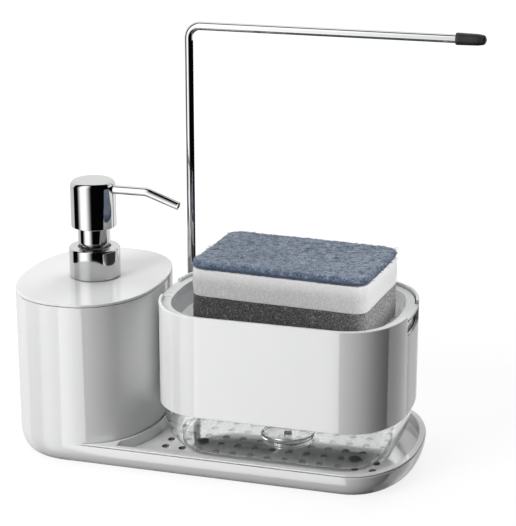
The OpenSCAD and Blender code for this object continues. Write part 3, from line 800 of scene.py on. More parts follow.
def present(piece, body, slot, material, *nodes, crease=32):
    """Finishes a piece: smooth shading, its material, the body it rides on and what it replaces."""
    piece.data.materials.clear()
    piece.data.materials.append(material)
    if material in (gloss_white, tray_white):
        white_parts.objects.link(piece)
    if body in parts_of_body:
        parts_of_body[body].objects.link(piece)
    piece.data.shade_smooth()
    piece.data.set_sharp_from_angle(angle=math.radians(crease))
    even = piece.modifiers.new("even shading", "WEIGHTED_NORMAL")
    even.keep_sharp = True
    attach(piece, body)
    if nodes:
        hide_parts(*nodes)
    size = [round(v / mm, 1) for v in piece.dimensions]
    print(piece.name, len(piece.data.polygons), "faces,", size, "mm")
    return piece


print("joining helpers ready")

# %% [markdown]
# The base and the bottle are one moulding. Its left end sweeps up without a seam from the rounded
# underside into the wall of the bottle, and on the right it is an open basin. The bottle's solid
# therefore has the base's rounding at its foot, and where the two solids share a surface the
# union leaves one clean skin.

# %% Base and bottle
base_h = 14.7
ground_gap = base_low.z / mm
base_round = 7.0
base_wall = 1.8
bottle_wall = 2.4
floor_top = 5.0
bottle_h = 106.0
lip_top = base_high.z / mm
bush_low, bush_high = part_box("rod_bush")
rod_x, rod_y = (bush_low.x + bush_high.x) / 2, (bush_low.y + bush_high.y) / 2
boss_r, boss_top = 7.4, 16.3


def rounded_side(extra=0.0, start=ground_gap, steps=10):
    """The base's side as places (inset, height), from the underside up to its straight part."""
    reach = base_h - ground_gap
    first = math.asin(min(1, (base_h - start) / reach))
    turns = [first * (1 - i / steps) for i in range(steps)]
    return [(extra + base_round * (1 - math.cos(t)), base_h - reach * math.sin(t)) for t in turns]


def base_and_bottle():
    top = 2 * lip_top
    body = moulding(
        "caddy_shell",
        base_outline,
        rounded_side() + [(0, base_h, 0.4), (base_end / mm / 2, base_h)],
    )
    lip = [(bottle_wall / 2, bottle_h), (bottle_wall / 2, lip_top)]
    bottle = moulding(
        "bottle",
        bottle_outline,
        rounded_side() + [(0, base_h), (0, bottle_h, 0.35)] + lip,
    )
    boss = turned("boss", rod_x, rod_y, [(boss_r, floor_top - 1), (boss_r, boss_top, 0.6), (3, boss_top)])
    basin = moulding(
        "basin",
        base_outline,
        rounded_side(base_wall, floor_top) + [(base_wall, z) for z in (base_h, top)],
    )
    inner = moulding("inner", bottle_outline, [(0, floor_top - 1), (0, top)])
    reservoir = moulding(
        "reservoir",
        bottle_outline,
        rounded_side(bottle_wall, floor_top) + [(bottle_wall, z) for z in (base_h, lip_top, top)],
    )
    body = cut(join(body, bottle), cut(basin, inner), reservoir)
    return join(body, boss)


shell = base_and_bottle()

# %% [markdown]
# The same moulding has parts that the camera doesn't see: a rail on the bottle that the band
# slides down on, a stepped hole for the rod, a groove for the non-slip ring, and a hollow under
# the floor with ribs across it.

# %% Rail, rod hole and underside
rail = {"neck": (8, 1.5), "head": (14.4, 1.3), "z": (48, 88)}
pad_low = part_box("base_pad")[0]
pad_inset = (pad_low.x - base_low.x) / mm
pad_w = 5.8
hollow_inset = 32.4
rib_t, ribs_under = 1.8, 5


def underside_hollow():
    """The recess under the floor, with ribs left standing across it."""
    hollow = moulding("hollow", base_outline, [(hollow_inset, -1), (hollow_inset, 2.8)])
    length = (base_high.x - base_low.x) / mm
    ribs = []
    for i in range(ribs_under):
        x = base_low.x / mm + length * (i + 1) / (ribs_under + 1)
        ribs.append(slab("rib", (x - rib_t / 2, -beyond, -2), (x + rib_t / 2, beyond, 9)))
    ring = turned("ring", rod_x, rod_y, [(boss_r, -2), (boss_r, 9)])
    return cut(hollow, *ribs, ring)


def band_rail():
    face = (bottle_x + bottle_a) / mm
    (neck_w, neck_t), (head_w, head_t), (z0, z1) = rail.values()
    neck = slab("neck", (face - 1.2, -neck_w / 2, z0), (face + neck_t, neck_w / 2, z1))
    head = slab("head", (face + neck_t, -head_w / 2, z0), (face + neck_t + head_t, head_w / 2, z1))
    return join(neck, head)


def ring_groove():
    start, end = pad_inset - 0.1, pad_inset + pad_w + 0.1
    core = moulding("core", base_outline, [(end, -2), (end, 3)])
    return cut(moulding("groove", base_outline, [(start, -1), (start, 1.6)]), core)


shell = join(shell, band_rail())
pocket = turned("pocket", rod_x, rod_y, [(5.8, -1), (5.8, 6.5)])
hole = turned("hole", rod_x, rod_y, [(4.72, -1), (4.72, 15.9, 0.4), (5.2, 16.4), (5.2, 20)])
shell = cut(shell, underside_hollow(), ring_groove(), pocket, hole)
present(shell, "base", "white_plastic", gloss_white, "caddy_body")

# %% [markdown]
# A soft ring let into the underside keeps the caddy from sliding. It stands a little proud of the
# plastic, so it is what touches the counter.

# %% Non-slip ring
pad_profile = [
    (pad_inset, 0, 0.5),
    (pad_inset, 1.6),
    (pad_inset + pad_w, 1.6),
    (pad_inset + pad_w, 0, 0.5),
]
pad = moulding("slip_ring", base_outline, pad_profile, closed=True)
present(pad, "base", "grey_rubber", grey_rubber, "base_pad")

# %% [markdown]
# The lid is a flat plate with a softly rounded edge. Below it a skirt goes down inside the
# bottle, and on it stands the threaded neck that the pump's collar screws on. The thread is a
# real helix, because it shows once the collar is turned off.

# %% Lid
skirt_h, lid_t = 9, 1.7
lid_z = lid_low.z / mm + skirt_h
lid_top = lid_z + lid_t
neck_top = lid_high.z / mm


def helix_thread(name, radius, depth, z, pitch, turns, steps=60):
    """A ridge that climbs round a neck and tapers out at both ends."""
    rings = []
    count = int(turns * steps)
    for i in range(count + 1):
        t = 2 * math.pi * i / steps
        taper = min(1, 8 * i / count, 8 * (count - i) / count)
        root, crest, tall = radius - 0.5, radius + depth * taper, 0.9 * taper + 0.05
        section = [(root, -tall * 0.7), (crest, -tall * 0.35), (crest, tall * 0.35), (root, tall * 0.7)]
        height = z + pitch * i / steps
        away = Vector((math.cos(t), math.sin(t), 0)) * mm
        rings.append([Vector((bottle_x, 0, (height + h) * mm)) + away * r for r, h in section])
    return loft(name, rings)


def pump_lid():
    edge = [(12, lid_z), (0, lid_z, 0.25), (0, lid_top, 0.45), (12, lid_top)]
    plate = moulding("pump_lid", bottle_outline, edge)
    low = lid_z - skirt_h
    skirt = moulding(
        "skirt",
        bottle_outline,
        [(3.4, low, 0.3), (3.4, lid_z + 1), (5, lid_z + 1), (5, low, 0.3)],
        closed=True,
    )
    neck = turned("neck", bottle_x, 0, [(13.4, lid_top - 1), (13.4, neck_top, 0.4), (4, neck_top)])
    bore = turned("bore", bottle_x, 0, [(10, lid_z - 5), (10, neck_top + 5)])
    thread = helix_thread("thread", 13.35, 0.55, neck_top - 10.5, 4, 2)
    return cut(join(plate, skirt, neck, thread), bore)


present(pump_lid(), "lid", "white_plastic", gloss_white, "lid")

# %% [markdown]
# The pump's outside is three turned shells of chromed metal: the collar, the fixed neck, and the
# head. They are thin and hollow as the real ones are, so that the underside of the head is right
# when it is looked into. At its foot the neck draws in to the collar with a quarter round, which
# the chrome shows as a dark line.

# %% Collar and neck
collar_low, collar_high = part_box("pump_collar")
neck_low, neck_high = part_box("pump_neck")
collar_r = (collar_high.x - collar_low.x) / 2 / mm
collar_z = (collar_low.z / mm, collar_high.z / mm)

collar_bore, collar_t, shell_t = 10.75, 1.15, 1.2
collar_profile = [
    (collar_r, collar_z[0], 0.35),
    (collar_r, collar_z[1], 1.5),
    (collar_bore, collar_z[1], 0.3),
    (collar_bore, collar_z[1] - shell_t),
    (collar_r - collar_t, collar_z[1] - shell_t),
    (collar_r - collar_t, collar_z[0], 0.2),
]
collar = turned("collar_shell", bottle_x, 0, collar_profile, closed=True, steps=6)
present(collar, "collar", "chrome", chrome, "pump_collar", crease=50)

stem_hole, well_r, well_depth = 3.86, 8, 8.5
plug_r, flange_r = 7.78, 13.6
plug_z, neck_top_z = neck_low.z / mm, neck_high.z / mm
flange_z = plug_z + 4.9
neck_r, neck_round = 10.4, 3.0
bowl_z = collar_z[1] + 0.5
bowl = []
for i in range(9):
    t = math.pi / 2 * i / 8
    bowl.append((neck_r - neck_round * (1 - math.sin(t)), bowl_z + neck_round * (1 - math.cos(t))))
neck_profile = [
    (plug_r, plug_z, 0.3),
    (plug_r, flange_z),
    (flange_r, flange_z, 0.2),
    (flange_r, flange_z + shell_t, 0.2),
    (neck_r - neck_round, flange_z + shell_t),
    *bowl,
    (neck_r, neck_top_z, 0.5),
    (well_r, neck_top_z, 0.3),
    (well_r, neck_top_z - well_depth),
    (stem_hole, neck_top_z - well_depth),
    (stem_hole, plug_z),
]
neck = turned("pump_neck_shell", bottle_x, 0, neck_profile, closed=True, steps=5)
present(neck, "pump", "chrome", chrome, "pump_neck", crease=50)

# %% [markdown]
# The head is a deep cap with a rounded top edge. The spout leaves it through a hole on its right
# side: a level tube that bends down gently and ends in a plain mouth with a slight lip. The tube
# is swept along its centre line, outside first and then back along the bore, so that its mouth is
# open and its wall has a thickness.

# %% Head
head_low, head_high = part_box("pump_head")
head_r = (head_high.x - head_low.x) / 2 / mm
head_z = (head_low.z / mm, head_high.z / mm)
spout_z = head_z[1] - 5.7
spout_r = 2.9

head_profile = [
    (head_r, head_z[0], 0.4),
    (head_r, head_z[1], 4.2),
    (0.02, head_z[1]),
    (0.02, head_z[1] - shell_t),
    (head_r - shell_t, head_z[1] - shell_t, 3),
    (head_r - shell_t, head_z[0], 0.3),
]
head = turned("head_shell", bottle_x, 0, head_profile, closed=True, steps=10)


def level_bar(name, radius, start, end, z):
    """A round bar along +X, used as a cutter."""
    rings = []
    for x in (start, end):
        ring = [Vector((x, radius * math.cos(t), z + radius * math.sin(t))) for t in circle(48)]
        rings.append([corner * mm for corner in ring])
    return loft(name, rings)


centre = bottle_x / mm
head = cut(head, level_bar("spout_hole", spout_r + 0.1, centre + 5, centre + 20, spout_z))
present(head, "head", "chrome", chrome, "pump_head", crease=50)

# %% Spout
def upright_path(points, bend, steps=10):
    """A path in the upright plane, with its corners rounded to a bend radius."""
    corners = [(u, v, bend) for u, v in points]
    return [Vector((u, 0, v)) for u, v in soften(corners, steps=steps)]


def swept(name, path, radii, origin, bore=None, sides=40):
    """A round tube along a path in the XZ plane; with a bore it is hollow and open at both ends."""
    def rings_at(sizes):
        rings = []
        for i, centre in enumerate(path):
            ahead = path[min(i + 1, len(path) - 1)] - path[max(i - 1, 0)]
            ahead.normalize()
            side = Vector((0, 1, 0))
            up = ahead.cross(side)
            offsets = [side * math.cos(t) + up * math.sin(t) for t in circle(sides)]
            rings.append([(centre + o * sizes[i]) * mm + origin for o in offsets])
        return rings
    outside = rings_at(radii)
    if bore is None:
        return loft(name, outside)
    return loft(name, outside + rings_at(bore)[::-1], closed=True)


spout_bend, spout_reach, spout_drop, spout_bore = 36.7, 58, 7.8, 1.9


def spout_tube():
    corners = [(7.1, spout_z), (spout_bend, spout_z), (spout_reach, spout_z - spout_drop)]
    path = upright_path(corners, 9)
    end = path.pop()
    back = (path[-1] - end).normalized()
    radii = [spout_r] * len(path) + [2.62, 2.66, 2.78, 2.7]
    bores = [spout_bore] * (len(path) + 1) + [1.95, 2.1, 2.25]
    path += [end + back * d for d in (1.0, 0.45, 0.15, 0)]
    return swept("spout", path, radii, Vector((bottle_x, 0, 0)), bores)


present(spout_tube(), "head", "chrome", chrome, "spout_tube", crease=50)

# %% [markdown]
# The drain tray drops into the base and rests on its rim. It is a shallow pan full of holes, with
# a flat lip that follows the bottle, and a flat corner on each side where the lip meets the rim.
# The pan's hollow is one solid with a flared edge; the places where the tray keeps its full
# height are cut out of that solid first, and then it is cut from the tray. The holes are dished
# at the top, longer from front to back, and they keep clear of the rod's post.

# %% Drain holes
tray_low, tray_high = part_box("drain_tray")
tray_rim = (base_h, tray_high.z / mm)
tray_z = tray_low.z / mm
tray_t = 1.3
drop = (base_h - tray_z) / (base_h - ground_gap)
tray_out = base_round * (1 - math.sqrt(1 - drop**2)) + base_wall + 0.4
tray_in = tray_out + tray_t
seam = 0.5
lip_w = 1.7
corner_x = rod_x / mm - 16.7


def drain_holes():
    top = tray_z + tray_t
    profile = [(2, 2, tray_z - 1), (2, 2, top - 0.5), (2.4, 3.3, top), (2.4, 3.3, top + 1)]
    a, b = base_end / mm - tray_in - 3, half_depth / mm - tray_in - 3
    places = []
    for i in range(13):
        for k in range(hole_rows):
            x, y = hole_start + i * hole_pitch, (k - (hole_rows - 1) / 2) * hole_pitch
            past = max(x - end_x, 0)
            in_pan = (past / a) ** base_power + (abs(y) / b) ** base_power < 1
            clear = math.hypot(x - rod_x / mm, y - rod_y / mm) > boss_r + lip_w + tray_t + 3
            if in_pan and clear:
                places.append((x, y))
    return pins(places, profile)


# %% Drain tray
def beside(outline, gap, flare, name):
    """A solid that keeps a gap to an outline, and narrows or widens by flare at its top."""
    low, high = tray_z - 5, tray_rim[1]
    sides = [(-gap, low), (-gap, high - abs(flare)), (-gap - flare, high), (-gap - flare, high + 9)]
    return moulding(name, outline, sides)


def post_outline(inset=0.0):
    """The rod's boss from above, as an outline that can be set in or out."""
    r = boss_r * mm - inset
    return [(rod_x + r * math.cos(t), rod_y + r * math.sin(t)) for t in circle(64)]


def drain_tray():
    groove = 0.45
    rim = moulding(
        "tray_pan",
        base_outline,
        [
            (9, tray_rim[0]),
            (seam + 1, tray_rim[0]),
            (seam + 1, tray_rim[0] + groove),
            (seam, tray_rim[0] + groove, 0.1),
            (seam, tray_rim[1], 0.35),
            (9, tray_rim[1]),
        ],
    )
    outside = [(tray_out + 9, tray_z), (tray_out, tray_z, 1), (tray_out, tray_rim[0] + 0.4)]
    pan = moulding("pan", base_outline, outside)
    hollow = moulding(
        "hollow",
        base_outline,
        [
            (tray_in + 9, tray_z + tray_t),
            (tray_in + 0.2, tray_z + tray_t, 1.2),
            (tray_in, tray_rim[1] - 0.5, 0.3),
            (tray_in - 0.5, tray_rim[1] + 0.1),
            (tray_in - 0.5, tray_rim[1] + 9),
        ],
    )
    keeps = [
        beside(bottle_outline, seam + lip_w, -0.4, "lip"),
        beside(post_outline, seam + lip_w, -0.4, "post_lip"),
        slab("corners", (-beyond, -beyond, 0), (corner_x, beyond, 40)),
    ]
    hollow = cut(hollow, *keeps)
    gaps = [
        beside(bottle_outline, seam, 0.35, "bottle_gap"),
        beside(post_outline, seam, 0.35, "post_gap"),
    ]
    return cut(join(rim, pan), *gaps, hollow, drain_holes())


present(drain_tray(), "drain_tray", "white_plastic", tray_white, "drain_tray")

# %% [markdown]
# The band is a plain ring of white plastic with rounded edges, notched at both ends so that a
# finger can lift the strainer out. A channel on its left end slides down over the bottle's rail.

# %% Band
band_t = 2.0
band_z = (band_low.z / mm, band_high.z / mm)
notch_w, notch_h = 34, 12.8


def notch_cutter():
    """A bar along X whose lower corners are rounded: it makes both notches at once."""
    top, low, half, r = band_z[1] + 5, band_z[1] - notch_h, notch_w / 2, 2.5
    section = soften([(-half, top), (-half, low, r), (half, low, r), (half, top)], steps=6)
    ends = [(band_x - band_half) / mm - 3, (band_x + band_half) / mm + 3]
    return loft("notch", [[(x * mm, y * mm, z * mm) for y, z in section] for x in ends])


def rail_channel():
    """Two hooks and a cap that hold the rail's head."""
    play, wall = 0.3, 1.6
    face, left = (bottle_x + bottle_a) / mm + play, (band_x - band_half) / mm + band_t / 2
    inner = rail["head"][0] / 2 + play
    outer = inner + wall
    z0, z1 = rail["z"][0] + 1.2, rail["z"][1] + wall
    blocks = [slab("cap", (face, -outer, z1 - wall), (left, outer, z1))]
    for side in (-1, 1):
        rib = sorted((side * inner, side * outer))
        hook = sorted((side * (rail["neck"][0] / 2 + play), side * outer))
        blocks.append(slab("rib", (face, rib[0], z0), (left, rib[1], z1)))
        blocks.append(slab("hook", (face, hook[0], z0), (face + 0.9, hook[1], z1)))
    return join(blocks[0], *blocks[1:])


band_profile = [
    (0, band_z[0], 0.7),
    (0, band_z[1], 0.7),
    (band_t, band_z[1], 0.7),
    (band_t, band_z[0], 0.7),
]
band = moulding("cup_band", band_outline, band_profile, closed=True)
band = cut(band, notch_cutter())
band = join(band, rail_channel())
present(band, "base", "white_plastic", gloss_white, "holder_band")

# %% [markdown]
# The cup hangs in the band and stands on four rubber feet. It has a wall of real thickness with a
# rounded bottom, a ring and a small nub in its floor, and a rounded rim, so it bends and doubles
# what is behind it as clear plastic does. The wall is one closed profile, down the outside and
# up the inside.

# %% Cup
cup_low, cup_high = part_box("cup")
cup_z = (cup_low.z / mm, cup_high.z / mm)
cup_inset = (cup_low.x - (band_x - band_half)) / mm
cup_t = 1.8
cup_round, cup_round_h = 14.0, 28.0


def cup_side(extra, foot, steps=14):
    """The cup's rounded lower side, from its foot up."""
    centre = cup_z[0] + cup_round_h
    first = math.asin(min(1, (centre - foot) / cup_round_h))
    places = []
    for i in range(steps):
        t = first * (1 - i / steps)
        inset = cup_inset + extra + cup_round * (1 - math.cos(t))
        places.append((inset, centre - cup_round_h * math.sin(t)))
    return places


def clear_cup_solid():
    wall = []
    for gap in (0, cup_t):
        side = cup_side(gap, cup_z[0] + gap) + [(cup_inset + gap, cup_z[0] + cup_round_h)]
        wall.append(side + [(cup_inset + gap, cup_z[1], 0.5)])
    solid = moulding("cup_wall", band_outline, wall[0] + wall[1][::-1])
    ring_top = cup_z[0] + cup_t + 2.4
    foot = cup_z[0] + cup_t / 2
    ring = turned(
        "ring",
        band_x,
        0,
        [(15.1, foot), (15.1, ring_top, 0.7), (17.5, ring_top, 0.7), (17.5, foot)],
        closed=True,
    )
    nub = turned("nub", band_x, 0, [(0.05, foot), (2.6, foot), (2.6, ring_top, 1.4), (0.05, ring_top)])
    return join(solid, ring, nub)


present(clear_cup_solid(), "cup", "clear_plastic", clear_cup, "cup")

# %% [markdown]
# The four feet are low domed studs of black rubber. They are far apart but one piece here, as
# the frame's node is.

# %% Cup feet
feet_low, feet_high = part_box("cup_feet")
foot_r = 3.8


def rubber_feet():
    """Four low domed studs, as one piece."""
    feet = []
    z0, z1 = feet_low.z / mm, feet_high.z / mm
    for x in (feet_low.x + foot_r * mm, feet_high.x - foot_r * mm):
        for y in (feet_low.y + foot_r * mm, feet_high.y - foot_r * mm):
            profile = [(0.05, z0), (foot_r - 0.2, z0, 0.6), (foot_r, z1), (0.05, z1)]
            feet.append(turned("cup_stud", x, y, profile, sides=40))
    return join(feet[0], *feet[1:])


studs = rubber_feet()
studs.name = "cup_studs"
present(studs, "cup", "black_rubber", black_rubber, "cup_feet")

# %% [markdown]
# The strainer is a shallow pan that hangs from the cup's rim by its flange, with a slope at the
# foot of its wall and a floor full of holes. Its two finger tabs lie in the band's notches and
# turn down over the band's face.

# %% Strainer
strainer_top = strainer_high.z / mm
strainer_z = strainer_low.z / mm
strainer_t = 1.5
flange_t = 1.2
slope_w, slope_h = 3, 8
strainer_inset = cup_inset + 3.9
tab_w, tab_h, tab_lip = 30, 1.8, 1.2


def tab_slices(inset, low, high, name):
    """The two ends of a ring round the band's outline, cut to the width of the tabs."""
    ring = moulding(
        name,
        band_outline,
        [(0, low, 0.4), (0, high, 0.4), (inset, high), (inset, low)],
        closed=True,
    )
    sides = []
    for y0, y1 in ((-beyond, -tab_w / 2), (tab_w / 2, beyond)):
        sides.append(slab("side", (-beyond, y0, 0), (beyond, y1, beyond)))
    return cut(ring, *sides)


def strainer_holes():
    pitch, r = 11, 2.5
    places = [(band_x / mm + i * pitch, k * pitch) for i in range(-5, 6) for k in range(-3, 4)]
    return pins(places, [(r, r, strainer_z - 1), (r, r, strainer_z + strainer_t + 1)])


def strainer():
    low, high = strainer_top - flange_t, strainer_top
    inside, floor_z = strainer_inset + strainer_t, strainer_z + strainer_t
    profile = [
        (strainer_inset + 9, strainer_z),
        (strainer_inset, strainer_z, 2.5),
        (strainer_inset, low, 0.3),
        (cup_inset, low, 0.3),
        (cup_inset, high, 0.4),
        (inside, high, 0.5),
        (inside, floor_z + slope_h, 0.4),
        (inside + slope_w, floor_z, 0.4),
        (strainer_inset + 9, floor_z),
    ]
    pan = moulding("strainer_pan", band_outline, profile)
    pan = join(pan, tab_slices(strainer_inset, low, high, "tabs"))
    pan = join(pan, tab_slices(tab_lip, strainer_top - tab_h, high, "tab_lips"))
    return cut(pan, strainer_holes())


present(strainer(), "sponge_tray", "clear_plastic", frosted, "sponge_tray")

# %% [markdown]
# The sponge is a sandwich of charcoal foam, white foam and a scourer. Foam is cut, not moulded:
# its sides are nearly straight, its edges slightly soft, and its surface is open cells. Each
# layer is a fine grid whose points are pushed in and out by noise at two sizes, broad for the
# way foam relaxes and fine for the cells, so that even its outline is a little ragged.

# %% Sponge layers
sponge_low, sponge_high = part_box("sponge_core")
sponge_turn = math.radians(-4)
sponge_len, sponge_depth, sponge_corner = 113.6, 74.0, 8.0
sponge_centre = (sponge_low + sponge_high) / 2


def in_tray(x, y):
    """A point of the sponge, measured from its centre, after the sponge is turned in its tray."""
    c, s = math.cos(sponge_turn), math.sin(sponge_turn)
    return sponge_centre.x + x * c - y * s, sponge_centre.y + x * s + y * c


def sponge_outline(inset=0.0):
    """A rounded rectangle, turned a little in its tray, with points about 1.6 mm apart."""
    w, d, r = sponge_len / 2 - inset / mm, sponge_depth / 2 - inset / mm, sponge_corner
    r = max(r - inset / mm * 0.5, 1.0)
    corners = [(w - r, d - r, 0), (-w + r, d - r, 90), (-w + r, -d + r, 180), (w - r, -d + r, 270)]
    places = []
    for k, (x, y, start) in enumerate(corners):
        for i in range(7):
            t = math.radians(start + 15 * i)
            places.append((x + r * math.cos(t), y + r * math.sin(t)))
        x, y, end = corners[(k + 1) % 4]
        end = math.radians(end)
        last, first = Vector(places[-1]), Vector((x + r * math.cos(end), y + r * math.sin(end)))
        count = 68 if k % 2 == 0 else 42
        places += [tuple(last.lerp(first, i / count)) for i in range(1, count)]
    return [in_tray(x * mm, y * mm) for x, y in places]


def sponge_layer(name, z0, z1, edge, bulge, steps, inward):
    """A layer whose sides pull in at the edges and swell by bulge, ringed all over for the noise."""
    sides = [(edge * 1.2, z0), (edge * 0.35, z0 + edge * 0.3), (0.0, z0 + edge)]
    for i in range(1, steps):
        share = i / steps
        sides.append((-bulge * math.sin(math.pi * share), z0 + edge + (z1 - z0 - 2 * edge) * share))
    sides += [(0.0, z1 - edge), (edge * 0.35, z1 - edge * 0.3), (edge * 1.2, z1)]
    across = [edge * 1.2 + inward * (i + 1) for i in range(int((sponge_depth / 2 - 4) / inward))]
    profile = [(inset, z0) for inset in reversed(across)] + sides + [(inset, z1) for inset in across]
    return moulding(name, sponge_outline, profile)


def roughen(piece, layers, seed):
    """Pushes points along their normals by noise; layers are (lump size, depth) in millimetres."""
    mesh = piece.data
    normals = [v.normal.copy() for v in mesh.vertices]
    offset = Vector((seed * 17.3, seed * 5.1, seed * 9.7))
    for vertex, normal in zip(mesh.vertices, normals):
        push = 0
        for lump, depth in layers:
            push += depth * noise.noise(vertex.co / (lump * mm) + offset)
        vertex.co += normal * push * mm


foam_z = [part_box(n)[0].z / mm for n in ("sponge_base", "sponge_core", "sponge_scourer")]
foam_z.append(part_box("sponge_scourer")[1].z / mm)
charcoal = sponge_layer("foam_dark", foam_z[0] + 0.1, foam_z[1], 0.9, 0.3, 14, 1.7)
roughen(charcoal, [(25, 0.3), (1.5, 0.35)], 1)
present(charcoal, "sponge", "dark_foam", dark_foam, "sponge_base", crease=80)

cream = sponge_layer("foam_light", foam_z[1], foam_z[2] + 0.3, 0.7, 0.35, 12, 1.7)
roughen(cream, [(28, 0.3), (1.5, 0.12)], 2)
present(cream, "sponge", "light_foam", light_foam, "sponge_core", crease=80)

# %% [markdown]
# The scourer is a felt, so its edge and face are hairy. The slab is shaped as the foam is, and
# loose fibres are laid over it: thin bent threads, most of them flat on the face and some past
# the edge. They are seeded, so the same fibres grow each time.

# %% Scourer
def web_slab():
    web = sponge_layer("scourer_pad", foam_z[2] + 0.1, foam_z[3] - 0.6, 1.6, 0.3, 5, 1.1)
    roughen(web, [(22, 0.5), (3.0, 0.35), (1.3, 0.5)], 3)
    return web


def loose_fibres(count, seed):
    """Bent three-sided threads over the top and round the edge of the scourer."""
    chance = np.random.default_rng(seed)
    verts, faces = [], []
    rim = sponge_outline(0.6 * mm)
    top, low = foam_z[3] - 0.75, foam_z[2] + 0.8
    kinks = 4
    for number in range(count):
        if number % 3 == 0:
            x, y = rim[chance.integers(len(rim))]
            z = chance.uniform(low, top) * mm
        else:
            u = chance.uniform(-sponge_len / 2 + 2, sponge_len / 2 - 2) * mm
            v = chance.uniform(-sponge_depth / 2 + 2, sponge_depth / 2 - 2) * mm
            x, y = in_tray(u, v)
            z = (top + chance.uniform(-0.25, 0.35)) * mm
        heading = chance.uniform(0, 2 * math.pi)
        bend = chance.normal(0, 0.5)
        length = chance.uniform(1.5, 4.0) * mm
        thick = chance.uniform(0.05, 0.09) * mm
        climb = chance.normal(0, 0.12)
        points = []
        for k in range(kinks + 1):
            angle = heading + bend * k
            points.append(Vector((x, y, z)))
            x += math.cos(angle) * length / kinks
            y += math.sin(angle) * length / kinks
            z = min(z + climb * length / kinks, (foam_z[3] - 0.05) * mm)
        first = len(verts)
        for k, point in enumerate(points):
            girth = thick * (1 if 0 < k < kinks else 0.4)
            angle = heading + bend * k + math.pi / 2
            side = Vector((math.cos(angle), math.sin(angle), 0)) * girth
            verts += [point + side, point - side, point + Vector((0, 0, girth * 1.4))]
        for a in range(first, first + 3 * kinks, 3):
            faces += [(a + i, a + (i + 1) % 3, a + 3 + (i + 1) % 3, a + 3 + i) for i in range(3)]
        end = first + 3 * kinks
        faces += [(first, first + 1, first + 2), (end + 2, end + 1, end)]
    return object_of("scourer_fibres", verts, faces)


web = web_slab()
present(web, "sponge", "scourer", scourer_web, "sponge_scourer", crease=80)
hairs = loose_fibres(5000, 11)
present(hairs, "sponge", "scourer", scourer_web, crease=80)

# %% [markdown]
# The rod is one length of chromed bar, bent once. It is swept as the spout is, along an upright,
# a quarter bend and a level arm. Its end is covered by a rubber cap whose mouth grips it.

# %% Rod
rod_low, rod_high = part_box("hanger_rod")
rod_r = 2.75
arm_z = rod_high.z / mm - rod_r
rod_foot, thread_r = 6.2, 2.4
bend_r = 7.75


def bent_rod():
    corner = []
    for t in np.linspace(0, math.pi / 2, 15):
        corner.append((bend_r - bend_r * math.cos(t), arm_z - bend_r + bend_r * math.sin(t)))
    reach = (rod_high.x - rod_x) / mm
    places = [(0, rod_low.z / mm), (0, rod_foot - 0.01), (0, rod_foot), (0, 60), (0, 150)] + corner
    places += [(60, arm_z), (120, arm_z), (reach - 0.5, arm_z), (reach, arm_z)]
    path = [Vector((u, 0, v)) for u, v in places]
    radii = [thread_r, thread_r] + [rod_r] * (len(path) - 3) + [rod_r - 0.5]
    return swept("rod", path, radii, Vector((rod_x, rod_y, 0)), sides=56)


present(bent_rod(), "hanger", "chrome", chrome, "hanger_rod", crease=50)

# %% [markdown]
# A photographer puts a black card close to a bright rod, so that one side of it turns dark and it
# reads as round. This one curves round the back of the rod's upright. Only mirror rays meet it,
# and it is part of the studio, like the floor.

# %% Black card
card_r, card_steps = 5.5, 20
verts = []
for z in (108, 256):
    for i in range(card_steps + 1):
        turn_to = direction(math.radians(80 + 90 * i / card_steps), 0)
        verts.append(Vector((rod_x, rod_y, z * mm)) + turn_to * card_r * mm)
faces = [(i, i + 1, card_steps + 2 + i, card_steps + 1 + i) for i in range(card_steps)]
card = object_of("black_card", verts, faces)
card.visible_camera = card.visible_diffuse = False
card.visible_transmission = card.visible_shadow = False
black_paper = bpy.data.materials.new("black_paper")
black_paper.use_nodes = True
net = Net(black_paper.node_tree)
net.add("OutputMaterial", sockets={"Surface": net.add("BsdfDiffuse", sockets={"Color": grey(0.01)})})
card.data.materials.append(black_paper)
print(card.name, "behind the rod")

# %% [markdown]
# The cap is a soft sleeve with a rounded end that narrows a little, turned about the arm's own
# line. The ferrule is the chromed collar that the rod stands on, and the bush is the plastic
# sleeve in the boss that it turns in.

# %% Rod cap
cap_low, cap_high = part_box("rod_cap")
cap_len = (cap_high.x - cap_low.x) / mm
cap_r, cap_bore, cap_depth = 3.85, 2.78, 13.1


def lying(name, profile, sides=56):
    """A solid of revolution about the rod's arm, from a profile of (radius, distance along it)."""
    rings = []
    for r, along in soften(profile, closed=True, steps=7):
        centre = Vector((cap_low.x + along * mm, rod_y, arm_z * mm))
        rings.append([centre + Vector((0, math.cos(t), math.sin(t))) * r * mm for t in circle(sides)])
    return loft(name, rings, closed=True)


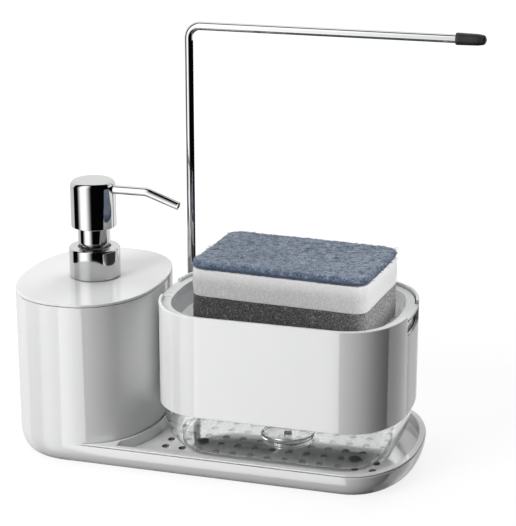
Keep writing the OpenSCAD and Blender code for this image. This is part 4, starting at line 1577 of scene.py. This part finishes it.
cap_profile = [
    (cap_bore, 0),
    (cap_r - 0.1, 0, 0.5),
    (cap_r, 1.5, 1),
    (cap_r - 0.25, cap_len - 5.5, 3),
    (cap_r - 0.9, cap_len - 1.2, 2.2),
    (0.03, cap_len - 0.02, 1.0),
    (0.03, cap_len - 2),
    (cap_bore, cap_depth),
]
cap = lying("arm_cap", cap_profile)
present(cap, "hanger", "black_rubber", black_rubber, "rod_cap", crease=50)

# %% Ferrule and bush
ferrule_r = 4.4
ferrule_z = [corner.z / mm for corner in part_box("rod_ferrule")]
ferrule_profile = [
    (rod_r + 0.03, ferrule_z[0]),
    (ferrule_r, ferrule_z[0], 0.5),
    (ferrule_r, ferrule_z[1], 0.9),
    (rod_r + 0.03, ferrule_z[1]),
]
ferrule = turned("rod_collar", rod_x, rod_y, ferrule_profile, closed=True, steps=5)
present(ferrule, "hanger", "chrome", chrome, "rod_ferrule", crease=50)

bush_r, bush_flange_r, bush_flange_t = 4.7, 6.4, 1.2
bush_z, bush_top = bush_low.z / mm, bush_high.z / mm
bush_profile = [
    (rod_r + 0.07, bush_z),
    (bush_r, bush_z, 0.3),
    (bush_r, bush_top - bush_flange_t),
    (bush_flange_r, bush_top - bush_flange_t, 0.2),
    (bush_flange_r, bush_top, 0.5),
    (rod_r + 0.07, bush_top, 0.2),
]
bush = turned("rod_seat", rod_x, rod_y, bush_profile, closed=True)
present(bush, "base", "pump_plastic", pump_white, "rod_bush", crease=50)

# %% [markdown]
# The working parts inside the pump are right as the frame has them, so they keep their own
# solids and only take a finish. They show when the lid is lifted out of the bottle.

# %% Inner parts
inner_finishes = {
    "pump_housing": pump_white,
    "pump_gasket": grey_rubber,
    "lid_seal": grey_rubber,
    "dip_tube": pump_white,
    "valve_ball": steel,
    "pump_spring": steel,
    "collar_liner": pump_white,
    "pump_stem": pump_white,
    "pump_piston": pump_white,
    "head_core": pump_white,
    "rod_washer": steel,
    "rod_nut": steel,
}
for name, material in inner_finishes.items():
    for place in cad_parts[name].material_slots:
        place.material = material
print("inner parts finished:", len(inner_finishes))
